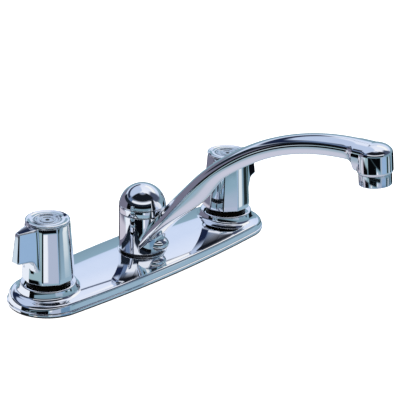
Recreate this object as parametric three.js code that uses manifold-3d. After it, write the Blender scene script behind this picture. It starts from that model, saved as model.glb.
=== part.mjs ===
// A two handle kitchen faucet on an 8 inch deck plate, in millimetres with +Z up.
// +X runs to the right along the plate, -Y faces the user, and the origin is on the deck surface
// under the middle of the plate. The spout is stored swung a little towards +X.
import * as THREE from 'three';
import { mergeVertices } from 'three/addons/utils/BufferGeometryUtils.js';
import Module from 'manifold-3d';

const wasm = await Module();
wasm.setup();

// Clearances and facets
const gap = 0.3; // between pieces that fit into, seat on or slide past each other
const roundSides = 28; // sides of a turned piece that shows
const hiddenSides = 16; // sides of a turned piece inside
const cutMargin = 1; // how far a cutter runs past the face it opens

// Deck plate and gasket
const holeSpacing = 203.2; // between the two supply holes, 8 in
const plateEndRadius = 31.75; // round ends, centred on the holes
const plateSideBow = 5; // how far the long sides bulge past the end radius
const plateWall = 1.6;
const plateEdgeHeight = 8.4; // from the gasket to where the rim ends and the crown starts
const plateFootHeight = 1.5; // the small lip along the bottom
const plateFootStep = 0.9; // how far the lip stands out
const plateSideLean = 0.3;
const plateCorner = 1.8; // radius of the rounded upper edge
const plateRimWidth = 3; // the rim between the rounded edge and the crown
const plateRimRise = 0.6;
const crownRise = 2; // the top swells this much towards the middle
const crownWidth = 23.5; // over this distance in from the rim
const hubPadMargin = 1; // the flat pad under the hub is this much wider than the hub
const bossRadius = 22.5; // the raised ring under each handle
const bossRise = 5.2; // above the crown
const bossRound = 1.9;
const gasketThickness = 1.6;
const gasketInset = 0.5;

// Valves
const shankRadius = 10.45; // 1/2 in pipe thread
const shankBore = 6.35;
const shankLength = 58; // below the deck surface
const valveFlangeRadius = 16.5;
const valveFlangeThickness = 2;
const barrelRadius = 13;
const barrelStandOut = 5.4; // the barrel's thread above the boss
const chamberRadius = 9.6;
const chamberFloor = 0.7; // above the gasket's top
const pocketRadius = 4.2; // the seat and its spring lie here
const pocketOffset = 4.6; // towards the user
const pocketDepth = 10;
const pocketOverlap = 2; // the shank's bore runs this far up beside the pocket
const seatHeight = 2.8;
const seatBore = 1.8;
const springWire = 0.9;
const springTurns = 4;
const stemDiscThickness = 1.8;
const stemNeckRadius = 5;
const stemChamberHeight = 6; // open ring that the supply tube leads out of
const stemShaftRadius = 4; // under the handle
const stemNotchWidth = 5.6;
const stemTop = 60;
const ringGrooveDepth = 1.4;
const ringGrooveWidth = 2.2;
const ringSection = 0.6; // radius of a ring's round section
const nutHexRadius = 16;
const nutFlangeRadius = 16.8;
const nutFlangeThickness = 1.8;
const nutTopThickness = 2.6;
const stemShoulder = 1; // the stem narrows this far above the nut

// Handles
const skirtFacets = 10;
const skirtBottomRadius = 20.5;
const skirtTopRadius = 17.1;
const skirtBottom = 21.4;
const handleTop = 68.7;
const rimThickness = 1.9;
const rimGroove = 0.8;
const rimEdge = 0.9; // width and height of the rim's rounded edges
const handleWall = 2.3;
const buttonRadius = 10.1;
const buttonThickness = 2.6;
const buttonDepth = 0.7; // the button lies this far under the rim
const buttonRim = 1.4; // width of the button's raised edge
const buttonEdge = 0.4; // bevel round it
const buttonDish = 0.9; // depth of the dish inside the edge
const buttonSlope = 0.8; // how far the dish's side leans in
const buttonRingRadius = 5; // middle of the raised ring in the dish
const buttonRingWidth = 2;
const buttonRingRise = 0.45;
const buttonDotRadius = 1.5;
const handleHubRadius = 7.4;
const handleHubLength = 22;
const webThickness = 2.6; // the floor that the screw clamps
const screwWellRadius = 5;
const screwHeadRadius = 3.8;
const screwHeadHeight = 2.2;
const screwRadius = 1.9;
const screwLength = 13;
const screwDomeRadius = 2.7; // the head rounds in to this
const screwDomeHeight = 0.9;
const screwSlotDepth = 1.3;
const screwSlotLength = 4.2;
const screwSlotWidth = 0.8;
const wingReach = 33.3; // from the axis to the tip's lower corner
const wingTipLean = 3; // its upper corner lies this far back
const wingTipTop = 64.8;
const wingBottom = 41.3;
const wingRootDrop = 9.5; // the wing's lower edge curves down this far to the skirt
const wingRootTop = 6.8; // half thickness at the skirt, along the top
const wingRootBottom = 9.6; // and along the lower edge
const wingTipHalfTop = 2.2;
const wingTipHalfBottom = 3.6;
const wingRootSweep = 4.5; // the curve reaches this far out from the skirt
const wingCorner = 1.6;

// Supply tubes and spout post
const tubeRadius = 3.2; // 1/4 in tube
const tubeBore = 2.4;
const tubeLift = 4.1; // tube axis above the gasket
const postFlangeRadius = 16;
const postFlangeHeight = 7.7;
const postRadius = 12.5;
const postBore = 7;
const postBoreTop = 36;
const postFloor = 1.6;
const portRadius = 2.9;
const portCount = 4;
const portHeight = 28;
const spigotRadius = 9;
const spigotHeight = 8.5;
const postRingHeights = [18.2, 39.2];

// Spout
const sleeveRadius = 18.9;
const sleeveTop = 45;
const sleeveChamberRadius = 15.2;
const sleeveChamberBottom = 23;
const sleeveChamberTop = 34.5;
const slipRingThickness = 1.4;
const slipRingInset = 0.7;
const glideThickness = 1.2;
const glideRadius = 16.8;
const domeBand = 6.2; // from the sleeve's top to the line under the dome
const domeCentre = 49; // height of the ball's centre
const domeLineDepth = 0.5;
const domeWall = 2.8;
const domeEdge = 0.4;
const domeBossRadius = 12;
const domeHollowRise = 10.4; // of the hollow's sloped roof over the ball's centre
const spoutReach = 203.2; // hub to the middle of the mouth, 8 in
const spoutRest = 9.4; // degrees that the spout is swung towards +X
const riseAngle = 52; // degrees, of the arm where it leaves the hub
const armStart = 7; // from the hub's axis, inside the sleeve
const armStartHeight = 17.3;
const armHeight = 140.7; // widest line of the level stretch
const armArc = 171; // radius of the long bend
const armRoot = { width: 17, crown: 11, keel: 2.5 }; // half width, and heights over and under it
const armMiddle = { width: 8, crown: 6.3, keel: 7.8 };
const armEnd = { width: 9.8, crown: 6.4, keel: 10.2 };
const armMiddleShare = 0.58; // of the arm's length
const armBelly = { from: 0.1, deepest: 0.3, to: 0.43, depth: 4.4 }; // fuller underside of the slope
const armSections = 24;
const noseReach = 14.5; // middle of the rounded nose at the hub's foot, under the arm
const noseLength = 10; // half sizes of the nose
const noseWidth = 9;
const noseHeight = 6.5;
const noseSteps = 6;
const armSides = 20;
const waterwaySides = 10;
const waterwayRadius = 5;
const outletRadius = 13.5;
const outletTilt = 6.5; // degrees, the mouth points a little away from the hub
const outletDrop = 14.8; // from the arm's widest line down to the outlet's lower edge
const outletRise = 6.6; // and up to its round top
const outletChamfer = 1.1;
const outletBore = 10.7;
const outletBoreDepth = 7.4;
const outletThroat = 7;
const aeratorRadius = 12.1;
const aeratorLength = 9.2;
const aeratorBore = 9.6;
const aeratorThread = 5.2;
const aeratorLip = 1.3; // how far the insert sits up inside the housing
const aeratorMouthLip = 0.8; // the lip reaches this far in under the insert
const aeratorEdge = 0.5;
const insertFloor = 2;
const insertWall = 1.5;
const aeratorHoleCircle = 6; // radius of the ring of holes
const aeratorCentreHole = 1.8;
const aeratorHoles = 12;
const aeratorHoleRadius = 0.9;
const washerThickness = 1.5;

// Under the deck
const deckRoom = 18; // thickest deck that the nuts can clamp
const mountWasherRadius = 19;
const mountWasherThickness = 2;
const mountNutRadius = 17;
const mountNutFlange = 18.5;
const mountNutHeight = 9;
const mountNutFlangeHeight = 2.25;

// Heights and places that follow from the sizes above
const holeX = holeSpacing / 2;
const plateBase = gasketThickness;
const plateEdge = plateBase + plateEdgeHeight;
const plateSide = plateFootStep + plateSideLean; // the side's distance in from the outline
const plateRimStart = plateSide + plateCorner;
const plateCrownStart = plateRimStart + plateRimWidth;
const plateTop = plateEdge + crownRise;
const bossTop = plateTop + bossRise;
const barrelTop = bossTop + barrelStandOut;
const chamberBase = plateBase + chamberFloor;
const pocketFloor = chamberBase - pocketDepth;
const tubeAxis = plateBase + tubeLift;
const stemBase = chamberBase + gap;
const stemLand = stemBase + stemDiscThickness + stemChamberHeight;
const stemLandRadius = chamberRadius - gap;
const stemRingHeight = stemLand + ringGrooveWidth;
const nutCeiling = barrelTop + gap;
const wingReachTop = wingReach - wingTipLean;
const buttonSeat = handleTop - buttonDepth - buttonThickness;
const wellFloor = buttonSeat - screwHeadHeight - gap;
const slipRingTop = plateTop + slipRingThickness;
const sleeveBottom = slipRingTop + gap;
const glideTop = sleeveTop + glideThickness;
const domeSeat = glideTop + gap;
const mouthDrop = outletDrop + gap + aeratorLength;
const armReach = spoutReach - mouthDrop * Math.sin(THREE.MathUtils.degToRad(outletTilt));

const degrees = (value) => THREE.MathUtils.degToRad(value);
const along = (from, to, share) => from + (to - from) * share;

function toSolid(geometry) {
  geometry.deleteAttribute('normal');
  geometry.deleteAttribute('uv');
  const merged = mergeVertices(geometry, 1e-4);
  const position = merged.attributes.position;
  const corner = (i) => new THREE.Vector3().fromBufferAttribute(position, i);
  const triangles = [];
  let volume = 0;
  for (let i = 0; i < merged.index.count; i += 3) {
    const [a, b, c] = [0, 1, 2].map((step) => merged.index.getX(i + step));
    if (a === b || b === c || c === a) continue;
    triangles.push([a, b, c]);
    volume += corner(a).dot(corner(b).cross(corner(c)));
  }
  if (volume < 0) triangles.forEach((triangle) => triangle.reverse());
  return new wasm.Manifold(new wasm.Mesh({
    numProp: 3,
    vertProperties: Float32Array.from(position.array),
    triVerts: Uint32Array.from(triangles.flat()),
  }));
}

function toGeometry(solid) {
  const mesh = solid.getMesh();
  const geometry = new THREE.BufferGeometry();
  geometry.setAttribute('position', new THREE.BufferAttribute(Float32Array.from(mesh.vertProperties), 3));
  geometry.setIndex(new THREE.BufferAttribute(Uint32Array.from(mesh.triVerts), 1));
  geometry.computeVertexNormals();
  return geometry;
}

// A solid turned about Z from [radius, height] pairs. A profile off the axis closes on itself.
function turned(profile, sides = roundSides, firstCorner = 0) {
  const points = profile.map(([radius, height]) => new THREE.Vector2(radius, height));
  const closesOnAxis = profile[0][0] === 0 && profile.at(-1)[0] === 0;
  if (!closesOnAxis) points.push(points[0].clone());
  return toSolid(new THREE.LatheGeometry(points, sides, firstCorner).rotateX(Math.PI / 2));
}

function rod(radius, from, to, sides = hiddenSides) {
  return turned([[0, from], [radius, from], [radius, to], [0, to]], sides);
}

function ring(outer, inner, from, to, sides = hiddenSides) {
  return turned([[inner, from], [outer, from], [outer, to], [inner, to]], sides);
}

function toroid(middle, section, height, sides = hiddenSides) {
  const corners = 6;
  const profile = Array.from({ length: corners }, (_, i) => {
    const angle = (2 * Math.PI * i) / corners;
    return [middle + section * Math.cos(angle), height + section * Math.sin(angle)];
  });
  return turned(profile, sides);
}

function hexagon(radius, from, to) {
  return rod(radius, from, to, 6);
}

// Triangles that fill a convex loop of corners.
const fan = (count) => Array.from({ length: count - 2 }, (_, i) => [0, i + 1, i + 2]);

// A solid through rings of points with the same number of corners, closed by its first and last ring.
function loft(rings, ends = fan(rings[0].length)) {
  const count = rings[0].length;
  const lastRing = (rings.length - 1) * count;
  const index = [];
  for (let start = 0; start < lastRing; start += count) {
    for (let i = 0; i < count; i += 1) {
      const a = start + i;
      const b = start + ((i + 1) % count);
      index.push(a, b, b + count, a, b + count, a + count);
    }
  }
  for (const [a, b, c] of ends) {
    index.push(a, c, b);
    index.push(lastRing + a, lastRing + b, lastRing + c);
  }
  const geometry = new THREE.BufferGeometry().setFromPoints(rings.flat());
  geometry.setIndex(index);
  return toSolid(geometry);
}

function box(low, high) {
  const size = high.map((value, i) => value - low[i]);
  const middle = high.map((value, i) => (value + low[i]) / 2);
  return toSolid(new THREE.BoxGeometry(...size).translate(...middle));
}

// A rod along X between two places, for tubes and for the holes that take them.
function crossRod(radius, fromX, toX, height, sides = 12) {
  return rod(radius, fromX, toX, sides).rotate([0, 90, 0]).translate([0, 0, height]);
}


// The plate's outline is four arcs: round ends about the holes, and long sides that touch them.
function plateOutline(inset, height) {
  const sideCentre = (holeX ** 2 - plateSideBow ** 2) / (2 * plateSideBow);
  const sideRadius = plateEndRadius + plateSideBow + sideCentre;
  const endSpan = Math.atan2(sideCentre, holeX);
  const endSteps = 13;
  const sideSteps = 7;
  const half = [];
  for (let i = 0; i < endSteps; i += 1) {
    const angle = along(-endSpan, endSpan, i / endSteps);
    const radius = plateEndRadius - inset;
    half.push([holeX + radius * Math.cos(angle), radius * Math.sin(angle)]);
  }
  for (let i = 0; i < sideSteps; i += 1) {
    const angle = along(endSpan, Math.PI - endSpan, i / sideSteps);
    const radius = sideRadius - inset;
    half.push([radius * Math.cos(angle), radius * Math.sin(angle) - sideCentre]);
  }
  const whole = [...half, ...half.map(([x, y]) => [-x, -y])];
  return whole.map(([x, y]) => new THREE.Vector3(x, y, height));
}

// [inset, height] pairs of the plate's section, from the foot up to the flat middle.
function plateSection() {
  const cornerTop = plateEdge - plateRimRise;
  const section = [
    [0, plateBase],
    [0, plateBase + plateFootHeight],
    [plateFootStep, plateBase + plateFootHeight + plateFootStep],
  ];
  for (const turn of [0, 30, 60, 90]) {
    section.push([
      plateSide + plateCorner * (1 - Math.cos(degrees(turn))),
      cornerTop - plateCorner * (1 - Math.sin(degrees(turn))),
    ]);
  }
  section.push([plateCrownStart, plateEdge]);
  const crownSteps = 5;
  for (let i = 1; i <= crownSteps; i += 1) {
    const share = i / crownSteps;
    section.push([plateCrownStart + crownWidth * share, plateEdge + crownRise * (1 - (1 - share) ** 2)]);
  }
  return section;
}

function bossProfile(radius, top) {
  return [
    [0, plateBase + plateWall],
    [radius + bossRound / 2, plateBase + plateWall],
    [radius + bossRound / 2, plateEdge - plateRimRise],
    [radius, plateEdge - plateRimRise + bossRound],
    [radius, top - bossRound],
    [radius - bossRound * (1 - Math.SQRT1_2), top - bossRound * (1 - Math.SQRT1_2)],
    [radius - bossRound, top],
    [0, top],
  ];
}

function deckPlate() {
  const section = plateSection();
  let plate = loft(section.map(([inset, height]) => plateOutline(inset, height)));
  let hollow = loft([
    plateOutline(plateWall, plateBase - cutMargin),
    ...section.slice(3).map(([inset, height]) => plateOutline(inset + plateWall, height - plateWall)),
  ]);
  for (const side of [-1, 1]) {
    const boss = turned(bossProfile(bossRadius, bossTop));
    plate = plate.add(boss.translate([side * holeX, 0, 0]));
    const inside = rod(bossRadius - plateWall, plateBase, bossTop - plateWall, roundSides);
    hollow = hollow.add(inside.translate([side * holeX, 0, 0]));
  }
  const hubPad = rod(sleeveRadius + hubPadMargin, plateTop - plateWall, plateTop, roundSides);
  plate = plate.subtract(hollow).add(hubPad);
  for (const side of [-1, 1]) {
    const hole = rod(barrelRadius + gap, plateBase, bossTop + cutMargin);
    plate = plate.subtract(hole.translate([side * holeX, 0, 0]));
  }
  return plate.subtract(rod(postRadius + gap, plateBase, plateTop + cutMargin));
}

function deckGasket() {
  let gasket = loft([plateOutline(gasketInset, 0), plateOutline(gasketInset, gasketThickness)]);
  for (const side of [-1, 1]) {
    const hole = rod(shankRadius + gap, -cutMargin, gasketThickness + cutMargin);
    gasket = gasket.subtract(hole.translate([side * holeX, 0, 0]));
  }
  return gasket;
}


// inward is +1 where the middle of the plate lies towards +X.
function valveBody(inward) {
  const outside = turned([
    [0, -shankLength],
    [shankRadius, -shankLength],
    [shankRadius, plateBase],
    [valveFlangeRadius, plateBase],
    [valveFlangeRadius, plateBase + valveFlangeThickness],
    [barrelRadius, plateBase + valveFlangeThickness],
    [barrelRadius, barrelTop],
    [0, barrelTop],
  ], hiddenSides);
  const pocket = rod(pocketRadius, pocketFloor, chamberBase + cutMargin).translate([0, -pocketOffset, 0]);
  const socket = crossRod(tubeRadius + gap, 0, inward * (valveFlangeRadius + cutMargin), tubeAxis);
  return outside
    .subtract(rod(shankBore, -shankLength - cutMargin, pocketFloor + pocketOverlap))
    .subtract(pocket)
    .subtract(rod(chamberRadius, chamberBase, barrelTop + cutMargin))
    .subtract(socket.subtract(rod(chamberRadius / 2, 0, barrelTop)));
}

function seat() {
  const cup = ring(pocketRadius - gap, seatBore, chamberBase - seatHeight, chamberBase);
  return cup.translate([0, -pocketOffset, 0]);
}

function seatSpring() {
  const radius = pocketRadius - gap - springWire;
  const bottom = pocketFloor + gap + springWire / 2;
  const top = chamberBase - seatHeight - gap - springWire / 2;
  class Coil extends THREE.Curve {
    getPoint(share, target = new THREE.Vector3()) {
      const angle = 2 * Math.PI * springTurns * share;
      return target.set(radius * Math.cos(angle), radius * Math.sin(angle), along(bottom, top, share));
    }
  }
  const wire = new THREE.Shape().absarc(0, 0, springWire / 2, 0, 2 * Math.PI);
  const coil = new THREE.ExtrudeGeometry(wire, {
    steps: 8 * springTurns,
    curveSegments: 3,
    extrudePath: new Coil(),
  });
  return toSolid(coil).translate([0, -pocketOffset, 0]);
}

// The notch in the stem's disc points outwards while the valve is shut.
function stem(inward) {
  const land = stemLandRadius;
  const groove = land - ringGrooveDepth;
  const discTop = stemBase + stemDiscThickness;
  const body = turned([
    [0, stemBase],
    [land, stemBase],
    [land, discTop],
    [stemNeckRadius, discTop],
    [stemNeckRadius, stemLand],
    [land, stemLand],
    [land, stemRingHeight - ringGrooveWidth / 2],
    [groove, stemRingHeight - ringGrooveWidth / 2],
    [groove, stemRingHeight + ringGrooveWidth / 2],
    [land, stemRingHeight + ringGrooveWidth / 2],
    [land, barrelTop],
    [stemNeckRadius, barrelTop],
    [stemNeckRadius, nutCeiling + nutTopThickness + stemShoulder],
    [stemShaftRadius, nutCeiling + nutTopThickness + 2 * stemShoulder],
    [stemShaftRadius, stemTop],
    [0, stemTop],
  ], hiddenSides);
  const notchStart = -inward * stemNeckRadius / 2;
  const notchEnd = -inward * (land + cutMargin);
  const notch = box(
    [Math.min(notchStart, notchEnd), -stemNotchWidth / 2, stemBase - cutMargin],
    [Math.max(notchStart, notchEnd), stemNotchWidth / 2, discTop],
  );
  const screwHole = rod(screwRadius + gap, wellFloor - screwLength - gap, stemTop + cutMargin, 12);
  return body.subtract(notch).subtract(screwHole);
}

function stemRing() {
  return toroid(stemLandRadius - ringGrooveDepth / 2, ringSection, stemRingHeight);
}

function bonnetNut() {
  const top = nutCeiling + nutTopThickness;
  return rod(nutFlangeRadius, bossTop, bossTop + nutFlangeThickness)
    .add(hexagon(nutHexRadius, bossTop, top))
    .subtract(rod(barrelRadius + gap, bossTop - cutMargin, nutCeiling))
    .subtract(rod(stemNeckRadius + gap, bossTop, top + cutMargin));
}


const skirtRadius = (height) => (
  along(skirtBottomRadius, skirtTopRadius, (height - skirtBottom) / (handleTop - skirtBottom))
);

// The wing is a wedge: thick where it leaves the skirt, thin at its tip, and thicker lower down.
function wing() {
  const inside = skirtTopRadius - 2 * handleWall;
  const rootLow = wingBottom - wingRootDrop;
  const outline = [[inside, rootLow], [skirtRadius(rootLow), rootLow]];
  for (const turn of [30, 60, 90]) {
    outline.push([
      skirtRadius(wingBottom) + wingRootSweep * (1 - Math.cos(degrees(turn))),
      wingBottom - wingRootDrop * (1 - Math.sin(degrees(turn))),
    ]);
  }
  outline.push(
    [wingReach - wingCorner, wingBottom],
    [wingReach, wingBottom + wingCorner],
    [wingReachTop, wingTipTop - wingCorner],
    [wingReachTop - wingCorner, wingTipTop],
    [inside, handleTop - rimThickness - rimGroove],
  );
  const halfThickness = (reach, height) => {
    const rise = THREE.MathUtils.clamp((height - wingBottom) / (wingTipTop - wingBottom), 0, 1);
    const tip = along(wingReach, wingReachTop, rise);
    const out = THREE.MathUtils.clamp((reach - skirtRadius(height)) / (tip - skirtRadius(height)), 0, 1);
    const root = along(wingRootBottom, wingRootTop, rise);
    return along(root, along(wingTipHalfBottom, wingTipHalfTop, rise), out);
  };
  const face = (side) => outline.map(([reach, height]) => (
    new THREE.Vector3(reach, side * halfThickness(reach, height), height)
  ));
  const flat = outline.map(([reach, height]) => new THREE.Vector2(reach, height));
  return loft([face(-1), face(1)], THREE.ShapeUtils.triangulateShape(flat, []));
}

function handle(inward) {
  const rimBottom = handleTop - rimThickness;
  const corner = Math.PI / skirtFacets; // puts one edge of the skirt behind the wing
  const skirt = turned([
    [0, skirtBottom],
    [skirtBottomRadius, skirtBottom],
    [skirtRadius(rimBottom - rimGroove), rimBottom - rimGroove],
    [0, rimBottom - rimGroove],
  ], skirtFacets, corner);
  const rim = turned([
    [0, rimBottom - 2 * rimGroove],
    [skirtTopRadius - rimGroove, rimBottom - 2 * rimGroove],
    [skirtTopRadius - rimGroove, rimBottom],
    [skirtTopRadius, rimBottom + 0.6 * rimEdge],
    [skirtTopRadius - 0.2 * rimEdge, handleTop - 0.6 * rimEdge],
    [skirtTopRadius - rimEdge, handleTop],
    [0, handleTop],
  ]);
  const ceiling = wellFloor - webThickness;
  const flatOfSkirt = Math.cos(Math.PI / skirtFacets);
  const inside = turned([
    [0, skirtBottom - cutMargin],
    [skirtRadius(skirtBottom) * flatOfSkirt - handleWall, skirtBottom - cutMargin],
    [skirtRadius(ceiling) * flatOfSkirt - handleWall, ceiling],
    [0, ceiling],
  ]);
  const hub = rod(handleHubRadius, ceiling - handleHubLength, ceiling + webThickness / 2);
  const socket = rod(stemShaftRadius + gap, ceiling - handleHubLength - cutMargin, stemTop + gap);
  return skirt.add(rim)
    .add(wing().rotate([0, 0, inward > 0 ? 180 : 0]))
    .subtract(inside)
    .add(hub)
    .subtract(socket)
    .subtract(rod(buttonRadius + gap, buttonSeat, handleTop + cutMargin))
    .subtract(rod(screwWellRadius, wellFloor, handleTop + cutMargin))
    .subtract(rod(screwRadius + gap, ceiling, handleTop, 12));
}

function handleScrew() {
  const head = turned([
    [0, wellFloor - screwLength],
    [screwRadius, wellFloor - screwLength],
    [screwRadius, wellFloor],
    [screwHeadRadius, wellFloor],
    [screwHeadRadius, wellFloor + screwHeadHeight - screwDomeHeight],
    [screwDomeRadius, wellFloor + screwHeadHeight],
    [0, wellFloor + screwHeadHeight],
  ], hiddenSides);
  const slotTop = wellFloor + screwHeadHeight;
  const slot = (x, y) => box([-x, -y, slotTop - screwSlotDepth], [x, y, slotTop + cutMargin]);
  const [long, short] = [screwSlotLength / 2, screwSlotWidth / 2];
  return head.subtract(slot(long, short)).subtract(slot(short, long));
}

// The clear button has a low rim, a shallow dish and a raised ring about a small centre.
function indexButton() {
  const top = buttonSeat + buttonThickness;
  const dish = top - buttonDish;
  const crest = dish + buttonRingRise;
  return turned([
    [0, buttonSeat],
    [buttonRadius, buttonSeat],
    [buttonRadius, top - buttonEdge],
    [buttonRadius - buttonEdge, top],
    [buttonRadius - buttonRim, top],
    [buttonRadius - buttonRim - buttonSlope, dish],
    [buttonRingRadius + buttonRingWidth / 2, dish],
    [buttonRingRadius + buttonRingWidth / 4, crest],
    [buttonRingRadius - buttonRingWidth / 4, crest],
    [buttonRingRadius - buttonRingWidth / 2, dish],
    [buttonDotRadius, dish],
    [buttonDotRadius - buttonRingRise, crest],
    [0, crest],
  ]);
}


function mountingWasher() {
  const top = -deckRoom;
  return ring(mountWasherRadius, shankRadius + gap, top - mountWasherThickness, top);
}

function mountingNut() {
  const top = -deckRoom - mountWasherThickness;
  return hexagon(mountNutRadius, top - mountNutHeight, top)
    .add(rod(mountNutFlange, top - mountNutFlangeHeight, top))
    .subtract(rod(shankRadius + gap, top - mountNutHeight - cutMargin, top + cutMargin));
}


function supplyTube(side) {
  const ends = [side * (holeX - chamberRadius - gap), side * (postBore + gap)].sort((a, b) => a - b);
  const bore = crossRod(tubeBore, ends[0] - cutMargin, ends[1] + cutMargin, tubeAxis);
  return crossRod(tubeRadius, ends[0], ends[1], tubeAxis).subtract(bore);
}

function spoutPost() {
  const flangeTop = plateBase + postFlangeHeight;
  const groove = postRadius - ringGrooveDepth;
  const outside = [
    [0, plateBase],
    [postFlangeRadius, plateBase],
    [postFlangeRadius, flangeTop],
    [postRadius, flangeTop],
  ];
  for (const height of postRingHeights) {
    outside.push(
      [postRadius, height - ringGrooveWidth / 2],
      [groove, height - ringGrooveWidth / 2],
      [groove, height + ringGrooveWidth / 2],
      [postRadius, height + ringGrooveWidth / 2],
    );
  }
  outside.push(
    [postRadius, sleeveTop],
    [spigotRadius, sleeveTop],
    [spigotRadius, sleeveTop + spigotHeight],
    [0, sleeveTop + spigotHeight],
  );
  let post = turned(outside, hiddenSides).subtract(rod(postBore, plateBase + postFloor, postBoreTop));
  for (const side of [-1, 1]) {
    const [from, to] = [side * postBore / 2, side * (postFlangeRadius + cutMargin)];
    post = post.subtract(crossRod(tubeRadius + gap, from, to, tubeAxis));
  }
  for (let i = 0; i < portCount; i += 1) {
    const port = crossRod(portRadius, postBore / 2, postRadius + cutMargin, portHeight, 12);
    post = post.subtract(port.rotate([0, 0, (360 * (i + 0.5)) / portCount]));
  }
  return post;
}

function postRing(height) {
  return toroid(postRadius - ringGrooveDepth / 2, ringSection, height);
}


// The arm's widest line leaves the hub on a slope, bends over on one long arc and ends level.
class ArmLine extends THREE.Curve {
  constructor() {
    super();
    this.slope = degrees(riseAngle);
    this.arcRise = armArc * (1 - Math.cos(this.slope));
    this.arcRun = armArc * Math.sin(this.slope);
    this.rampRise = armHeight - this.arcRise - armStartHeight;
    this.rampRun = this.rampRise / Math.tan(this.slope);
    const levelStart = armStart + this.rampRun + this.arcRun;
    this.lengths = [Math.hypot(this.rampRun, this.rampRise), armArc * this.slope, armReach - levelStart];
    this.total = this.lengths.reduce((sum, value) => sum + value);
  }

  getPoint(share, target = new THREE.Vector3()) {
    const [ramp, arc] = this.lengths;
    const travelled = share * this.total;
    if (travelled < ramp) {
      const part = travelled / ramp;
      return target.set(0, -(armStart + this.rampRun * part), armStartHeight + this.rampRise * part);
    }
    const rampEnd = armStart + this.rampRun;
    if (travelled < ramp + arc) {
      const heading = this.slope - (travelled - ramp) / armArc;
      const run = this.arcRun - armArc * Math.sin(heading);
      return target.set(0, -(rampEnd + run), armHeight - armArc * (1 - Math.cos(heading)));
    }
    const level = travelled - ramp - arc;
    return target.set(0, -(rampEnd + this.arcRun + level), armHeight);
  }

  headingAt(share) {
    const [ramp, arc] = this.lengths;
    const travelled = share * this.total;
    return this.slope * (1 - THREE.MathUtils.clamp((travelled - ramp) / arc, 0, 1));
  }
}

// The section is broad and flat where it leaves the hub, slim in the middle and deep at the outlet.
function armSection(share) {
  const taper = THREE.MathUtils.smoothstep(share, 0, armMiddleShare);
  const swell = THREE.MathUtils.smoothstep(share, armMiddleShare, 1);
  const blend = (size) => along(along(armRoot[size], armMiddle[size], taper), armEnd[size], swell);
  const { from, deepest, to, depth } = armBelly;
  const filling = THREE.MathUtils.smoothstep(share, from, deepest);
  const belly = depth * (filling - THREE.MathUtils.smoothstep(share, deepest, to));
  return { width: blend('width'), crown: blend('crown'), keel: blend('keel') + belly };
}

// A round waterway in the middle of the section.
function waterwaySection(share) {
  const { crown, keel } = armSection(share);
  const lift = (crown - keel) / 2;
  return { width: waterwayRadius, crown: waterwayRadius + lift, keel: waterwayRadius - lift };
}

// Rings of points square to the arm's line, each an oval with its widest line on the arm's line.
function armRings(sectionAt, sides) {
  const line = new ArmLine();
  const rings = [];
  for (let k = 0; k <= armSections; k += 1) {
    const share = k / armSections;
    const centre = line.getPoint(share);
    const heading = line.headingAt(share);
    const up = new THREE.Vector3(0, Math.sin(heading), Math.cos(heading));
    const { width, crown, keel } = sectionAt(share);
    rings.push(Array.from({ length: sides }, (_, i) => {
      const angle = (2 * Math.PI * i) / sides;
      const rise = Math.sin(angle) * (Math.sin(angle) > 0 ? crown : keel);
      return centre.clone().addScaledVector(up, rise).add(new THREE.Vector3(width * Math.cos(angle), 0, 0));
    }));
  }
  return rings;
}

// Puts a solid that was built about the outlet's own axis at the end of the arm.
function atOutlet(solid) {
  return solid.rotate([-outletTilt, 0, 0]).translate([0, -armReach, armHeight]);
}

function rootNose() {
  const ball = [];
  for (let k = 1; k < noseSteps; k += 1) {
    const turn = Math.PI * (k / noseSteps - 0.5);
    ball.push([Math.cos(turn), Math.sin(turn)]);
  }
  return turned([[0, -1], ...ball, [0, 1]])
    .scale([noseWidth, noseLength, noseHeight])
    .translate([0, -noseReach, sleeveBottom + noseHeight]);
}

function spout() {
  const arm = loft(armRings(armSection, armSides));
  const waterway = loft(armRings(waterwaySection, waterwaySides));
  const sleeve = rod(sleeveRadius, sleeveBottom, sleeveTop, roundSides);
  const outlet = turned([
    [0, -outletDrop],
    [outletRadius - outletChamfer, -outletDrop],
    [outletRadius, 2 * outletChamfer - outletDrop],
    [outletRadius, 0],
    ...[20, 40, 60, 75].map((turn) => [
      outletRadius * Math.cos(degrees(turn)), outletRise * Math.sin(degrees(turn)),
    ]),
    [0, outletRise],
  ]);
  const throat = rod(outletThroat, -outletDrop, 0);
  const mouth = rod(outletBore, -outletDrop - cutMargin, outletBoreDepth - outletDrop);
  return arm.add(sleeve).add(rootNose()).add(atOutlet(outlet))
    .subtract(waterway)
    .subtract(atOutlet(throat.add(mouth)))
    .subtract(rod(postRadius + gap, sleeveBottom - cutMargin, domeCentre + sleeveRadius, roundSides))
    .subtract(rod(sleeveChamberRadius, sleeveChamberBottom, sleeveChamberTop, roundSides))
    .subtract(rod(sleeveRadius + gap, sleeveTop, domeCentre + sleeveRadius, roundSides));
}

function slipRing() {
  return ring(sleeveRadius - slipRingInset, postRadius + gap, plateTop, slipRingTop, roundSides);
}

function glideWasher() {
  return ring(glideRadius, spigotRadius + gap, sleeveTop, glideTop, roundSides);
}

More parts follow.
